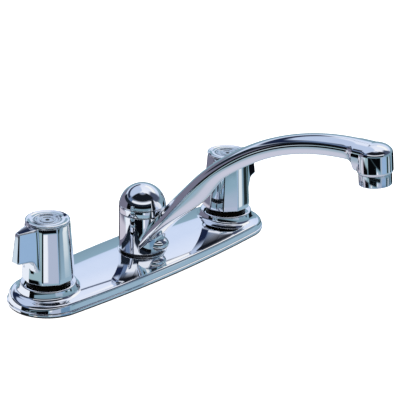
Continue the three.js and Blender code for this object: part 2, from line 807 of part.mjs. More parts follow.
function domeCap() {
  const lineHeight = sleeveTop + domeBand;
  const onBall = (height) => Math.sqrt(Math.max(sleeveRadius ** 2 - (height - domeCentre) ** 2, 0));
  const profile = [
    [0, sleeveTop + gap],
    [sleeveRadius - domeEdge, sleeveTop + gap],
    [sleeveRadius, sleeveTop + gap + domeEdge],
    [sleeveRadius, domeCentre],
    [onBall(lineHeight - domeLineDepth), lineHeight - domeLineDepth],
    [onBall(lineHeight) - domeLineDepth, lineHeight],
    [onBall(lineHeight + domeLineDepth), lineHeight + domeLineDepth],
  ];
  const firstTurn = Math.asin((lineHeight + domeLineDepth - domeCentre) / sleeveRadius);
  const steps = 8;
  for (let i = 1; i <= steps; i += 1) {
    const turn = along(firstTurn, Math.PI / 2, i / steps);
    const radius = i < steps ? sleeveRadius * Math.cos(turn) : 0;
    profile.push([radius, domeCentre + sleeveRadius * Math.sin(turn)]);
  }
  const shell = sleeveRadius - domeWall;
  const hollowTop = domeCentre + domeHollowRise;
  const hollow = turned([
    [domeBossRadius, domeSeat - cutMargin],
    [shell, domeSeat - cutMargin],
    [shell, domeCentre],
    [domeBossRadius, hollowTop],
  ]);
  return turned(profile)
    .subtract(rod(glideRadius + gap, sleeveTop, domeSeat, roundSides))
    .subtract(hollow)
    .subtract(rod(spigotRadius + gap, sleeveTop, sleeveTop + spigotHeight + gap));
}


function aeratorHousing() {
  const bottom = -mouthDrop;
  const shoulder = -outletDrop - gap;
  const ledge = bottom + aeratorLip;
  const top = aeratorThread - outletDrop;
  return turned([
    [aeratorBore - aeratorMouthLip, bottom],
    [aeratorRadius - aeratorEdge, bottom],
    [aeratorRadius, bottom + aeratorEdge],
    [aeratorRadius, shoulder - aeratorEdge],
    [aeratorRadius - aeratorEdge, shoulder],
    [outletBore - gap, shoulder],
    [outletBore - gap, top],
    [aeratorBore, top],
    [aeratorBore, ledge],
    [aeratorBore - aeratorMouthLip, ledge],
  ]);
}

function aeratorInsert() {
  const bottom = aeratorLip - mouthDrop + gap;
  const top = aeratorThread - outletDrop;
  const holeTop = bottom + insertFloor + cutMargin;
  let insert = rod(aeratorBore - gap, bottom, top, roundSides)
    .subtract(rod(aeratorBore - gap - insertWall, bottom + insertFloor, top + cutMargin, roundSides));
  for (let i = 0; i < aeratorHoles; i += 1) {
    const hole = rod(aeratorHoleRadius, bottom - cutMargin, holeTop, 6);
    const turn = (360 * i) / aeratorHoles;
    insert = insert.subtract(hole.translate([aeratorHoleCircle, 0, 0]).rotate([0, 0, turn]));
  }
  return insert.subtract(rod(aeratorCentreHole, bottom - cutMargin, holeTop, 12));
}

function aeratorWasher() {
  const top = outletBoreDepth - outletDrop - gap;
  return ring(outletBore - gap, outletThroat, top - washerThickness, top);
}


const finish = (color, roughness, metalness) => (
  new THREE.MeshStandardMaterial({ color, roughness, metalness })
);
const finishes = {
  chrome: () => finish('#cdd5dd', 0.06, 1),
  brass: () => finish('#b89a5a', 0.35, 1),
  steel: () => finish('#a9abad', 0.35, 1),
  copper: () => finish('#b87450', 0.35, 1),
  blackRubber: () => finish('#1d1e20', 0.85, 0),
  whitePlastic: () => finish('#e4e4df', 0.5, 0),
  darkPlastic: () => finish('#24272e', 0.3, 0),
  clearPlastic: () => finish('#c9d2d6', 0.15, 0),
};


const faucet = new THREE.Group();

function place(parent, name, finishName, solid) {
  const mesh = new THREE.Mesh(toGeometry(solid), finishes[finishName]());
  mesh.name = name;
  parent.add(mesh);
}

place(faucet, 'deck_plate', 'chrome', deckPlate());
place(faucet, 'deck_gasket', 'blackRubber', deckGasket());

for (const [name, side] of [['left', -1], ['right', 1]]) {
  const inward = -side;
  const valve = new THREE.Group();
  valve.position.x = side * holeX;
  faucet.add(valve);
  place(valve, `${name}_valve_body`, 'brass', valveBody(inward));
  place(valve, `${name}_seat`, 'blackRubber', seat());
  place(valve, `${name}_seat_spring`, 'steel', seatSpring());
  place(valve, `${name}_stem`, 'brass', stem(inward));
  place(valve, `${name}_stem_o_ring`, 'blackRubber', stemRing());
  place(valve, `${name}_bonnet_nut`, 'brass', bonnetNut());
  place(valve, `${name}_handle`, 'chrome', handle(inward));
  place(valve, `${name}_handle_screw`, 'steel', handleScrew());
  place(valve, `${name}_index_button`, 'clearPlastic', indexButton());
  place(valve, `${name}_mounting_washer`, 'steel', mountingWasher());
  place(valve, `${name}_mounting_nut`, 'brass', mountingNut());
  place(faucet, `${name}_supply_tube`, 'copper', supplyTube(side));
}

place(faucet, 'spout_post', 'brass', spoutPost());
place(faucet, 'lower_spout_o_ring', 'blackRubber', postRing(postRingHeights[0]));
place(faucet, 'upper_spout_o_ring', 'blackRubber', postRing(postRingHeights[1]));
place(faucet, 'spout_slip_ring', 'darkPlastic', slipRing());
place(faucet, 'spout_glide_washer', 'whitePlastic', glideWasher());
place(faucet, 'dome_cap', 'chrome', domeCap());

const swing = new THREE.Group();
swing.rotation.z = degrees(spoutRest);
faucet.add(swing);
place(swing, 'spout', 'chrome', spout());

const outletEnd = new THREE.Group();
outletEnd.position.set(0, -armReach, armHeight);
outletEnd.rotation.x = degrees(-outletTilt);
swing.add(outletEnd);
place(outletEnd, 'aerator_housing', 'chrome', aeratorHousing());
place(outletEnd, 'aerator_insert', 'whitePlastic', aeratorInsert());
place(outletEnd, 'aerator_washer', 'blackRubber', aeratorWasher());

export default faucet;
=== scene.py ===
import math

import bmesh
import bpy
from mathutils import Matrix, Vector


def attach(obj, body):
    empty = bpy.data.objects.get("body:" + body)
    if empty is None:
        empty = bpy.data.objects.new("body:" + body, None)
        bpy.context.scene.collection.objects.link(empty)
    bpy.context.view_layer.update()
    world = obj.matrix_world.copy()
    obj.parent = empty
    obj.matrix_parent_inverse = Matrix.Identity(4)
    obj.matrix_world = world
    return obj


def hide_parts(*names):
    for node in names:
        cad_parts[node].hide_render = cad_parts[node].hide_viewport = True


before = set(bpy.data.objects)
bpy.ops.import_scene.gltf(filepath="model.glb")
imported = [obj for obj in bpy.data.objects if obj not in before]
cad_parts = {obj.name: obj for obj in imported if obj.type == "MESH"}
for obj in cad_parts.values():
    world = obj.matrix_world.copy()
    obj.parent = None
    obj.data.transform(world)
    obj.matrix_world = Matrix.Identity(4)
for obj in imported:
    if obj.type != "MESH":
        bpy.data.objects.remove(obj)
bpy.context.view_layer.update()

mm = 0.001
mergeDistance = 0.0001 * mm
fullTurn = 2 * math.pi
leftAndRight = ((-1, "left"), (1, "right"))
scene = bpy.context.scene


# Mesh helpers. A shell is a list of corners in millimetres and a list of faces.

def rounded(corners, closed=False, steps=6):
    # gives each corner of a profile, (radius, height) or (radius, height, fillet), its fillet
    points = []
    for i, corner in enumerate(corners):
        here = Vector(corner[:2])
        fillet = corner[2] if len(corner) > 2 else 0
        if not fillet or (not closed and i in (0, len(corners) - 1)):
            points.append(tuple(here))
            continue
        back = (Vector(corners[i - 1][:2]) - here).normalized()
        ahead = (Vector(corners[(i + 1) % len(corners)][:2]) - here).normalized()
        half = back.angle(ahead) / 2
        centre = here + (back + ahead).normalized() * fillet / math.sin(half)
        start = here + back * fillet / math.tan(half) - centre
        end = here + ahead * fillet / math.tan(half) - centre
        sweep = math.pi - 2 * half
        for k in range(steps + 1):
            share = k / steps
            arm = start * math.sin((1 - share) * sweep) + end * math.sin(share * sweep)
            points.append(tuple(centre + arm / math.sin(sweep)))
    return points


def turned(profile, columns):
    # profile: from the axis and back to it, or a loop that closes on itself; a third value that
    # is true makes a point follow the columns' shares of the radius
    # columns: a count, or a list of (angle, share of the radius)
    if isinstance(columns, int):
        columns = [(fullTurn * i / columns, 1) for i in range(columns)]
    verts, rings = [], []
    for point in profile:
        radius, height = point[:2]
        faceted = len(point) > 2 and point[2]
        if radius == 0:
            rings.append([len(verts)] * len(columns))
            verts.append((0, 0, height))
            continue
        rings.append(range(len(verts), len(verts) + len(columns)))
        for angle, share in columns:
            reach = radius * (share if faceted else 1)
            verts.append((reach * math.cos(angle), reach * math.sin(angle), height))
    pairs = list(zip(rings, rings[1:]))
    if profile[0][0] and profile[-1][0]:
        pairs.append((rings[-1], rings[0]))
    faces = []
    for low, high in pairs:
        for i in range(len(columns)):
            k = (i + 1) % len(columns)
            faces.append((low[i], low[k], high[k], high[i]))
    return verts, faces


def lofted(rings, closed=False):
    # rings with the same number of corners: closed, the last joins the first, and open, the ends
    # are flat
    count, faces = len(rings[0]), []
    verts = [corner for ring in rings for corner in ring]
    for j in range(len(rings) if closed else len(rings) - 1):
        a, b = j * count, ((j + 1) % len(rings)) * count
        for i in range(count):
            k = (i + 1) % count
            faces.append((a + i, a + k, b + k, b + i))
    if not closed:
        faces.append(tuple(range(count)))
        faces.append(tuple(range(len(verts) - count, len(verts))))
    return verts, faces


def rod(radius, low, high):
    return [(0, low), (radius, low), (radius, high), (0, high)]


def moved(shell, matrix):
    return [tuple(matrix @ Vector(corner)) for corner in shell[0]], shell[1]


def meshObject(name, *shells):
    build = bmesh.new()
    for verts, faces in shells:
        corners = [build.verts.new(Vector(place) * mm) for place in verts]
        for face in faces:
            ring = [corners[i] for i in dict.fromkeys(face)]
            if len(ring) > 2:
                build.faces.new(ring)
    bmesh.ops.remove_doubles(build, verts=build.verts, dist=mergeDistance)
    bmesh.ops.recalc_face_normals(build, faces=build.faces)
    mesh = bpy.data.meshes.new(name)
    build.to_mesh(mesh)
    build.free()
    piece = bpy.data.objects.new(name, mesh)
    scene.collection.objects.link(piece)
    return piece


def joinShells(piece, *shells):
    # adds closed shells to a finished mesh
    extra = meshObject("extra", *shells)
    build = bmesh.new()
    build.from_mesh(piece.data)
    build.from_mesh(extra.data)
    build.to_mesh(piece.data)
    build.free()
    bpy.data.objects.remove(extra)


def mergeCorners(mesh):
    # joins the loose triangles of a CAD mesh's copy
    build = bmesh.new()
    build.from_mesh(mesh)
    bmesh.ops.remove_doubles(build, verts=build.verts, dist=mergeDistance)
    build.to_mesh(mesh)
    build.free()


def plainMesh(piece):
    # takes what the modifiers make as the piece's own mesh
    depsgraph = bpy.context.evaluated_depsgraph_get()
    made = bpy.data.meshes.new_from_object(piece.evaluated_get(depsgraph))
    piece.modifiers.clear()
    piece.data = made


def carve(piece, operation, *tools):
    for tool in tools:
        step = piece.modifiers.new(operation, "BOOLEAN")
        step.operation = operation
        step.solver = "MANIFOLD"
        step.object = tool
        plainMesh(piece)
        bpy.data.objects.remove(tool)


def finishPiece(piece, finish, body, nodes, crease=32):
    # crease: edges that bend by more degrees than this stay sharp
    if finish:
        piece.data.materials.clear()
        piece.data.materials.append(finish)
    piece.data.polygons.foreach_set("use_smooth", [True] * len(piece.data.polygons))
    piece.data.set_sharp_from_angle(angle=math.radians(crease))
    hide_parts(*nodes)
    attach(piece, body)
    return piece


def between(low, high, share):
    return low + (high - low) * share


def smooth(share):
    share = min(max(share, 0), 1)
    return share * share * (3 - 2 * share)


# Materials

def linear(hexColour):
    channels = [int(hexColour[i:i + 2], 16) / 255 for i in (1, 3, 5)]
    return [c / 12.92 if c <= 0.04045 else ((c + 0.055) / 1.055) ** 2.4 for c in channels] + [1]


def addNode(tree, kind, inputs=None, **settings):
    node = tree.nodes.new(kind)
    for name, value in settings.items():
        setattr(node, name, value)
    for socket, value in (inputs or {}).items():
        if isinstance(value, bpy.types.NodeSocket):
            tree.links.new(value, node.inputs[socket])
        else:
            node.inputs[socket].default_value = value
    return node


def newMaterial(name, look):
    # look: two colours and a roughness range that a pattern drifts between, the pattern's grain and
    # the surface's waviness in mm, the waves' height in mm, and the shader's own fixed values
    material = bpy.data.materials.new(name)
    material.use_nodes = True
    tree = material.node_tree
    tree.nodes.clear()
    place = addNode(tree, "ShaderNodeTexCoord").outputs["Object"]
    stretch = addNode(tree, "ShaderNodeMapping", {"Vector": place, "Scale": look.get("stretch", (1, 1, 1))})
    grain = addNode(tree, "ShaderNodeTexNoise", {
        "Vector": stretch.outputs[0], "Scale": 1 / (look["grain"] * mm), "Detail": 3,
    })
    tint = addNode(tree, "ShaderNodeMix", {
        "Factor": grain.outputs[0], "A": linear(look["colour"]), "B": linear(look["drift"]),
    }, data_type="RGBA")
    haze = addNode(tree, "ShaderNodeMapRange", {
        "Value": grain.outputs[0], "To Min": look["roughness"][0], "To Max": look["roughness"][1],
    })
    wave = addNode(tree, "ShaderNodeTexNoise", {
        "Vector": stretch.outputs[0], "Scale": 1 / (look["waviness"] * mm), "Detail": 1,
    })
    relief = addNode(tree, "ShaderNodeBump", {
        "Strength": 1, "Distance": look["relief"] * mm, "Height": wave.outputs[0],
    })
    surface = addNode(tree, "ShaderNodeBsdfPrincipled", {
        "Base Color": tint.outputs["Result"], "Roughness": haze.outputs[0], "Normal": relief.outputs[0],
        **look["fixed"],
    })
    addNode(tree, "ShaderNodeOutputMaterial", {"Surface": surface.outputs[0]})
    return material


looks = {
    # polished zinc under bright chrome: a mirror with the faint waves that buffing leaves
    "polishedChromeCasting": {
        "colour": "#F0F2F5", "drift": "#F5F6F8", "roughness": (0.015, 0.04), "grain": 6,
        "waviness": 22, "relief": 0.05, "fixed": {"Metallic": 1},
    },
    # pressed brass sheet under bright chrome: flatter than the castings
    "polishedChromePressing": {
        "colour": "#F0F2F6", "drift": "#F5F6F9", "roughness": (0.015, 0.04), "grain": 9,
        "waviness": 60, "relief": 0.06, "fixed": {"Metallic": 1},
    },
    # chrome on a ring that is gripped to unscrew it: a little dulled
    "dulledChrome": {
        "colour": "#DDE1E8", "drift": "#E8EAEE", "roughness": (0.07, 0.11), "grain": 9,
        "waviness": 30, "relief": 0.004, "fixed": {"Metallic": 1},
    },
    # machined brass, a little dull where the tool has run
    "machinedBrass": {
        "colour": "#C9A864", "drift": "#B8924E", "roughness": (0.22, 0.38), "grain": 1.2,
        "waviness": 2, "relief": 0.01, "stretch": (1, 1, 8), "fixed": {"Metallic": 1},
    },
    # brass nuts painted near black: painted shade for the dark gap under the handles, where they sit out of
    # sight
    "shadeDarkenedBrass": {
        "colour": "#14110D", "drift": "#221C14", "roughness": (0.3, 0.5), "grain": 2,
        "waviness": 2, "relief": 0.02, "fixed": {"Metallic": 1},
    },
    # drawn copper tube, slightly tarnished
    "drawnCopper": {
        "colour": "#C47E5A", "drift": "#A5603F", "roughness": (0.25, 0.42), "grain": 3,
        "waviness": 3, "relief": 0.01, "stretch": (0.2, 1, 1), "fixed": {"Metallic": 1},
    },
    # zinc plated steel, brushed by handling
    "brushedSteel": {
        "colour": "#B9BCC1", "drift": "#A2A5AA", "roughness": (0.25, 0.4), "grain": 0.8,
        "waviness": 1, "relief": 0.01, "stretch": (1, 6, 1), "fixed": {"Metallic": 1},
    },
    # moulded nitrile rubber: matt, with a soft grey bloom
    "nitrileRubber": {
        "colour": "#1B1C1F", "drift": "#26272A", "roughness": (0.62, 0.85), "grain": 1.5,
        "waviness": 0.6, "relief": 0.02, "fixed": {"Metallic": 0},
    },
    # moulded acetal, milky and waxy
    "whiteAcetal": {
        "colour": "#ECECE6", "drift": "#E0E1DA", "roughness": (0.32, 0.45), "grain": 4,
        "waviness": 1.5, "relief": 0.01, "fixed": {"Metallic": 0},
    },
    # moulded acetal in charcoal: a glossy dark band under the hub
    "charcoalAcetal": {
        "colour": "#24272E", "drift": "#1A1C22", "roughness": (0.18, 0.3), "grain": 4,
        "waviness": 1.5, "relief": 0.01, "fixed": {"Metallic": 0},
    },
    # clear acrylic over silver foil: the foil shows through a glossy skin
    "foiledAcrylic": {
        "colour": "#B9C6D3", "drift": "#D3DCE5", "roughness": (0.1, 0.22), "grain": 2.5,
        "waviness": 1.2, "relief": 0.03, "fixed": {"Metallic": 0.85, "Coat Weight": 1, "Coat IOR": 1.49},
    },
}
materials = {name: newMaterial(name, look) for name, look in looks.items()}
chromeCasting = materials["polishedChromeCasting"]
print("materials:", ", ".join(materials))


# Deck plate: a bowed outline with round ends, a rounded rim, a low crown, and a ring under each handle

plate = {
    # outline and thickness
    "holeX": 101.6, "endRadius": 31.7, "bow": 4.9, "wall": 1.6, "base": 1.6, "endSteps": 60, "sideSteps": 90,
    # foot: a thin lip round the bottom, then the side
    "footHeight": 1.5, "footEdge": 0.3, "footStep": 0.9, "footRise": 0.25, "stepEdge": 0.2, "sideInset": 1.2,
    "sideLean": 0.1, "sideFoot": 0.45,
    # rounded upper edge, wider and taller by the end width and height at the plate's ends
    "edge": 1.8, "endWidth": 5, "endHeight": 3.8, "edgeSteps": 12,
    # top
    "rimTop": 9.4, "crownInset": 6, "crownBase": 10, "crownRise": 2, "crownWidth": 23.5, "crownSteps": 26,
    # hub's hole, with a flat pad round it
    "hubHole": 12.8, "padRadius": 19.9, "padThick": 1.2, "padEdge": 0.3,
    "insideSlope": 1, "holeColumns": 96, "cutterTop": 30,
}
plate["padTop"] = plate["crownBase"] + plate["crownRise"]
plate["sideCentre"] = (plate["holeX"] ** 2 - plate["bow"] ** 2) / (2 * plate["bow"])
plate["sideRadius"] = plate["endRadius"] + plate["bow"] + plate["sideCentre"]
plate["endSpan"] = math.atan2(plate["sideCentre"], plate["holeX"])
boss = {
    "radius": 22.5, "topRadius": 21.7, "top": 17.2, "bore": 13.3, "outerEdge": 1.3, "innerEdge": 0.3,
    "ceilingEdge": 0.5, "foot": 8, "lap": 0.9, "columns": 144, "wallSteps": 8,
    # the hollow curve at its foot
    "toe": 3.2, "toeRise": 2.2, "toeBend": 0.5, "toeLap": 0.1, "toeSink": 0.02, "toeSteps": 10,
}


def aside(side, unit=1):
    # from the middle to a handle's axis
    return Matrix.Translation((side * plate["holeX"] * unit, 0, 0))


def plateColumns():
    # outward directions round one half of the outline: (centre, radius, angle, share of end rounding)
    p, columns = plate, []
    for i in range(p["endSteps"]):
        angle = between(-p["endSpan"], p["endSpan"], i / p["endSteps"])
        columns.append(((p["holeX"], 0), p["endRadius"], angle, max(math.cos(angle), 0) ** 2))
    for i in range(p["sideSteps"]):
        angle = between(p["endSpan"], math.pi - p["endSpan"], i / p["sideSteps"])
        columns.append(((0, -p["sideCentre"]), p["sideRadius"], angle, 0))
    return columns


def plateRings(sectionFor):
    # sectionFor(share of end rounding) lists (inset, height): each of its places makes one ring
    columns = [(*column[:3], sectionFor(column[3])) for column in plateColumns()]
    rings = []
    for j in range(len(columns[0][3])):
        half = []
        for (x, y), radius, angle, section in columns:
            inset, height = section[j]
            reach = radius - inset
            half.append((x + reach * math.cos(angle), y + reach * math.sin(angle), height))
        rings.append(half + [(-x, -y, z) for x, y, z in half])
    return rings


def edgeSize(share):
    # width and height of the rounded upper edge
    return plate["edge"] + plate["endWidth"] * share, plate["edge"] + plate["endHeight"] * share


def crownHeight(inset, share=0):
    # the top's height: the rounded edge, the rim's slope, then the crown
    p = plate
    width, drop = edgeSize(share)
    rimStart = p["sideInset"] + width
    crownStart = p["crownInset"] + p["endWidth"] * share
    if inset < rimStart:
        return p["rimTop"] - drop * (1 - math.sqrt(max(1 - ((rimStart - inset) / width) ** 2, 0)))
    if inset < crownStart:
        return between(p["rimTop"], p["crownBase"], (inset - rimStart) / (crownStart - rimStart))
    rise = min((inset - crownStart) / (p["crownWidth"] - p["endWidth"] * share), 1)
    return p["crownBase"] + p["crownRise"] * (1 - (1 - rise) ** 2)


def plateTopAt(x, y):
    # height of the plate's top over a place
    x, y, p = abs(x), abs(y), plate
    angle = math.atan2(y, x - p["holeX"])
    if angle < p["endSpan"]:
        inset = p["endRadius"] - math.hypot(x - p["holeX"], y)
        return crownHeight(inset, max(math.cos(angle), 0) ** 2)
    return crownHeight(p["sideRadius"] - math.hypot(x, y + p["sideCentre"]))


def plateSection(share):
    # (inset, height) from the bottom up the side and over the crown
    p = plate
    side, foot = p["sideInset"], p["base"] + p["footHeight"]
    width, drop = edgeSize(share)
    section = rounded([
        (0, p["base"]), (0, foot, p["footEdge"]), (p["footStep"], foot + p["footRise"], p["stepEdge"]),
        (side - p["sideLean"], foot + p["sideFoot"]),
    ], steps=4)
    for k in range(p["edgeSteps"] + 1):
        turn = math.pi / 2 * k / p["edgeSteps"]
        section.append((side + width * (1 - math.cos(turn)), p["rimTop"] - drop * (1 - math.sin(turn))))
    start = section[-1][0]
    for k in range(1, p["crownSteps"] + 1):
        inset = between(start, p["crownInset"] + p["crownWidth"], k / p["crownSteps"])
        section.append((inset, crownHeight(inset, share)))
    return section


def plateInside(share):
    # the same one wall's thickness further in, from every third place of the crown
    wall, base, slope = plate["wall"], plate["base"], plate["insideSlope"]
    crown = plateSection(share)[1 - plate["crownSteps"]:-2:3]
    start = [(wall, base), (wall + slope, base + slope)]
    return start + [(inset + wall, height - wall) for inset, height in crown]


def makeDeckPlate():
    p = plate
    piece = meshObject("deckPlate", lofted(plateRings(plateInside)[::-1] + plateRings(plateSection)))
    places = [(0, p["hubHole"])] + [(side, boss["radius"] - boss["lap"]) for side, _ in leftAndRight]
    holes = [moved(turned(rod(r, 0, p["cutterTop"]), p["holeColumns"]), aside(side)) for side, r in places]
    carve(piece, "DIFFERENCE", meshObject("holes", *holes))
    padFloor = p["padTop"] - p["padThick"]
    pad = turned(rounded([
        (p["hubHole"], padFloor), (p["padRadius"], padFloor), (p["padRadius"], p["padTop"], p["padEdge"]),
        (p["hubHole"], p["padTop"]),
    ], closed=True), p["holeColumns"])
    joinShells(piece, *(bossShell(side) for side, _ in leftAndRight), pad)
    finish = materials["polishedChromePressing"]
    return finishPiece(piece, finish, "base", ["deck_plate"], crease=40)


def bossShell(side):
    # the raised ring under a handle: its toe is a hollow curve that follows the plate's crown
    b, rings = boss, []
    radius, top, ceiling = b["radius"], b["top"], b["top"] - plate["wall"]
    inner, outer = radius - plate["wall"], radius + b["toe"]
    wall = rounded([
        (radius, 0), (b["topRadius"], top, b["outerEdge"]), (b["bore"], top, b["innerEdge"]),
        (b["bore"], ceiling), (inner, ceiling, b["ceilingEdge"]), (inner, b["foot"]),
    ], steps=b["wallSteps"])
    middle, bendRadius = side * plate["holeX"], radius + b["toeBend"]
    for i in range(b["columns"]):
        angle = fullTurn * i / b["columns"]
        x, y = math.cos(angle), math.sin(angle)
        under = [plateTopAt(middle + reach * x, reach * y) for reach in (outer, bendRadius, radius)]
        start = Vector((outer, under[0] - b["toeSink"]))
        bend = Vector((bendRadius, under[1]))
        end = Vector((radius - b["toeLap"], under[2] + b["toeRise"]))
        column = []
        for k in range(b["toeSteps"] + 1):
            share = k / b["toeSteps"]
            column.append(tuple(start.lerp(bend, share).lerp(bend.lerp(end, share), share)))
        column += wall[1:] + [(outer, b["foot"])]
        rings.append([(middle + reach * x, reach * y, height) for reach, height in column])
    return lofted(rings, closed=True)


makeDeckPlate()
print("deck plate done")


# Gasket: a rubber seal with rounded edges, made as a ring under the plate's rim

gasket = {
    "inset": 0.5, "thickness": 1.6, "width": 8,
    "edge": [(0.4, 0), (0.1, 0.1), (0, 0.4), (0, 1.3), (0.1, 1.6)],  # further in, and height
}


def makeGasket():
    g = gasket
    profile = g["edge"] + [(g["width"], g["thickness"]), (g["width"], 0)]
    section = [(g["inset"] + further, height) for further, height in profile]
    piece = meshObject("deckGasket", lofted(plateRings(lambda share: section), closed=True))
    return finishPiece(piece, materials["nitrileRubber"], "base", ["deck_gasket"])


makeGasket()


# Handles: a faceted skirt that tapers, a round lip, and a wing that points outwards

handle = {
    # skirt
    "facets": 10, "facetSwell": 0.008, "facetSteps": 8, "edgeRound": 2.6, "edgeSteps": 3, "wall": 2.3,
    "bottomRadius": 20.5, "topRadius": 17.1, "bottom": 21.4, "top": 68.7, "bottomEdge": 0.5,
    "skirtTop": 66, "skirtEdge": 0.45, "rows": 12, "rowMargin": 0.6,
    # neck under the lip, lip and the top's dish, as (radius, depth below the top, fillet)
    "neck": (15.5, 2.6),
    "lip": [
        (15.6, 2.55), (15.9, 2.15, 0.25), (17.1, 1.55, 0.6), (16.85, 0.5, 0.5), (15.8, 0, 0.9),
        (14.6, 0.25, 0.6), (13.2, 0.75, 0.6), (11.3, 0.55, 0.4), (10.4, 0.8, 0.3),
    ],
    # inside: the button's seat, the screw's well, the stem's socket and the hub round it
    "buttonBore": 10.4, "buttonSeat": 65.4, "wellRadius": 5, "wellFloor": 62.9, "screwBore": 2.2,
    "stemBore": 4.3, "stemTop": 60.2, "hubRadius": 7.4, "hubLength": 22, "hubEdge": 0.4, "hubRoot": 0.8,
    "ceiling": 60.3, "ceilingEdge": 1.2,
}
wing = {
    "reachTop": 30.3, "reachBottom": 33.3, "rootHigh": 66, "tipTop": 64.8, "bottom": 41.3, "rootDrop": 9.5,
    "rootSweep": 4.5, "rootTop": 6.8, "rootBottom": 9.6, "tipHalfTop": 2.2, "tipHalfBottom": 3.6,
    "startRadius": 15.6, "startSink": 0.3, "shoulder": 1,
    "box": (9, 5, 11.5), "round": 1.1, "roundSteps": 4, "flats": (12, 8, 12),
}


def facetColumns():
    # the skirt's facets as (angle, share of the corner radius), with rounded edges
    h, columns = handle, []
    half = math.pi / h["facets"]
    apothem = math.cos(half)
    edge = h["edgeRound"] / h["bottomRadius"]
    centre = (apothem - edge) / math.cos(half)
    span = math.sin(half) * centre
    for facet in range(h["facets"]):
        corner = 2 * half * facet
        for k in range(-h["edgeSteps"], h["edgeSteps"] + 1):
            turn = half * k / h["edgeSteps"]
            x, y = centre + edge * math.cos(turn), edge * math.sin(turn)
            columns.append((corner + math.atan2(y, x), math.hypot(x, y)))
        for k in range(1, h["facetSteps"]):
            along = between(-span, span, k / h["facetSteps"])
            swell = h["facetSwell"] * (1 - (along / span) ** 2)
            angle = math.atan2(along, apothem)
            columns.append((corner + half + angle, math.hypot(along, apothem + swell)))
    return columns


def skirtRadius(height):
    h = handle
    return between(h["bottomRadius"], h["topRadius"], (height - h["bottom"]) / (h["top"] - h["bottom"]))


def handleBody():
    h = handle
    skirtTop, hubBottom = h["skirtTop"], h["ceiling"] - h["hubLength"]
    flat = math.cos(math.pi / h["facets"])
    inner = h["bottomRadius"] * flat - h["wall"]
    innerTop = skirtRadius(h["ceiling"]) * flat - h["wall"]
    neck, neckDepth = h["neck"]
    skirt = rounded([
        (inner, h["bottom"]), (h["bottomRadius"], h["bottom"], h["bottomEdge"]),
        (skirtRadius(skirtTop), skirtTop, h["skirtEdge"]), (neck, h["top"] - neckDepth),
    ], steps=5)[1:]
    low, high = h["bottom"] + h["rowMargin"], skirtTop - h["rowMargin"]
    cut = next(i for i, (radius, height) in enumerate(skirt) if height > low)
    rows = [between(low, high, k / h["rows"]) for k in range(1, h["rows"])]
    skirt[cut:cut] = [(skirtRadius(row), row) for row in rows]  # they keep the tall faces square
    rest = rounded([(radius, h["top"] - depth, *fillet) for radius, depth, *fillet in h["lip"]] + [
        (h["buttonBore"], h["buttonSeat"]), (h["wellRadius"], h["buttonSeat"]),
        (h["wellRadius"], h["wellFloor"]), (h["screwBore"], h["wellFloor"]), (h["screwBore"], h["stemTop"]),
        (h["stemBore"], h["stemTop"]), (h["stemBore"], hubBottom), (h["hubRadius"], hubBottom, h["hubEdge"]),
        (h["hubRadius"], h["ceiling"], h["hubRoot"]), (innerTop, h["ceiling"], h["ceilingEdge"]),
        (inner, h["bottom"]),
    ], steps=5)
    loop = [(*point, True) for point in skirt] + [(*point, False) for point in rest]
    return turned(loop, facetColumns())


def boxLevels(flat):
    # (place, lean) pairs along one side of a rounded box
    steps = wing["roundSteps"]
    lean = [math.tan(math.pi / 4 * k / steps) for k in range(steps, 0, -1)]
    levels = [(-1, -value) for value in lean]
    levels += [(between(-1, 1, k / flat), 0) for k in range(flat + 1)]
    return levels + [(1, value) for value in reversed(lean)]


def roundedBox(size, radius, flats):
    levels = [boxLevels(flat) for flat in flats]
    verts, faces = [], []
    for axis in range(3):
        u, v = (axis + 1) % 3, (axis + 2) % 3
        rows, row = len(levels[u]), len(levels[v])
        for end in (-1, 1):
            start = len(verts)
            for placeU, leanU in levels[u]:
                for placeV, leanV in levels[v]:
                    core, lean = [0, 0, 0], [0, 0, 0]
                    core[axis], lean[axis] = end * (size[axis] - radius), end
                    core[u], lean[u] = placeU * (size[u] - radius), leanU
                    core[v], lean[v] = placeV * (size[v] - radius), leanV
                    verts.append(tuple(Vector(core) + Vector(lean).normalized() * radius))
            for i in range(rows - 1):
                for j in range(row - 1):
                    a = start + i * row + j
                    faces.append((a, a + 1, a + row + 1, a + row))
    return verts, faces


def wingShell():
    # a rounded box bent into the wing: thick at the skirt, thin at its tip and thicker lower down
    w = wing
    verts, faces = roundedBox(w["box"], w["round"], w["flats"])
    root = skirtRadius(w["bottom"])
    bent = []
    for x, y, z in verts:
        along, across, rise = (x / w["box"][0] + 1) / 2, y / w["box"][1], (z / w["box"][2] + 1) / 2
        rootHalf = between(w["rootBottom"], w["rootTop"], rise)
        tipHalf = between(w["tipHalfBottom"], w["tipHalfTop"], rise)
        start = math.sqrt(w["startRadius"] ** 2 - (rootHalf * across) ** 2) - w["startSink"]
        tip = between(w["reachBottom"], w["reachTop"], rise)
        reach = between(start, tip, along)
        high = between(w["rootHigh"], w["tipTop"], (reach - start) / (w["reachTop"] - start))
        curve = 1 - min(max((reach - root) / w["rootSweep"], 0), 1)
        low = w["bottom"] - w["rootDrop"] * (1 - math.sqrt(1 - curve * curve))
        out = min(max((reach - root + w["shoulder"]) / (tip - root + w["shoulder"]), 0), 1)
        bent.append((reach, across * between(rootHalf, tipHalf, out), between(low, high, rise)))
    return bent, faces


def makeHandle(side, name):
    node = name + "_handle"
    piece = meshObject(name + "Handle", handleBody())
    carve(piece, "UNION", meshObject("wing", wingShell()))
    turn = Matrix.Rotation(0 if side > 0 else math.pi, 4, "Z")
    piece.data.transform(aside(side, mm) @ turn)
    return finishPiece(piece, chromeCasting, node, [node], crease=28)


for side, name in leftAndRight:
    makeHandle(side, name)
print("handles done")


# Index buttons: clear discs with rings, over foil

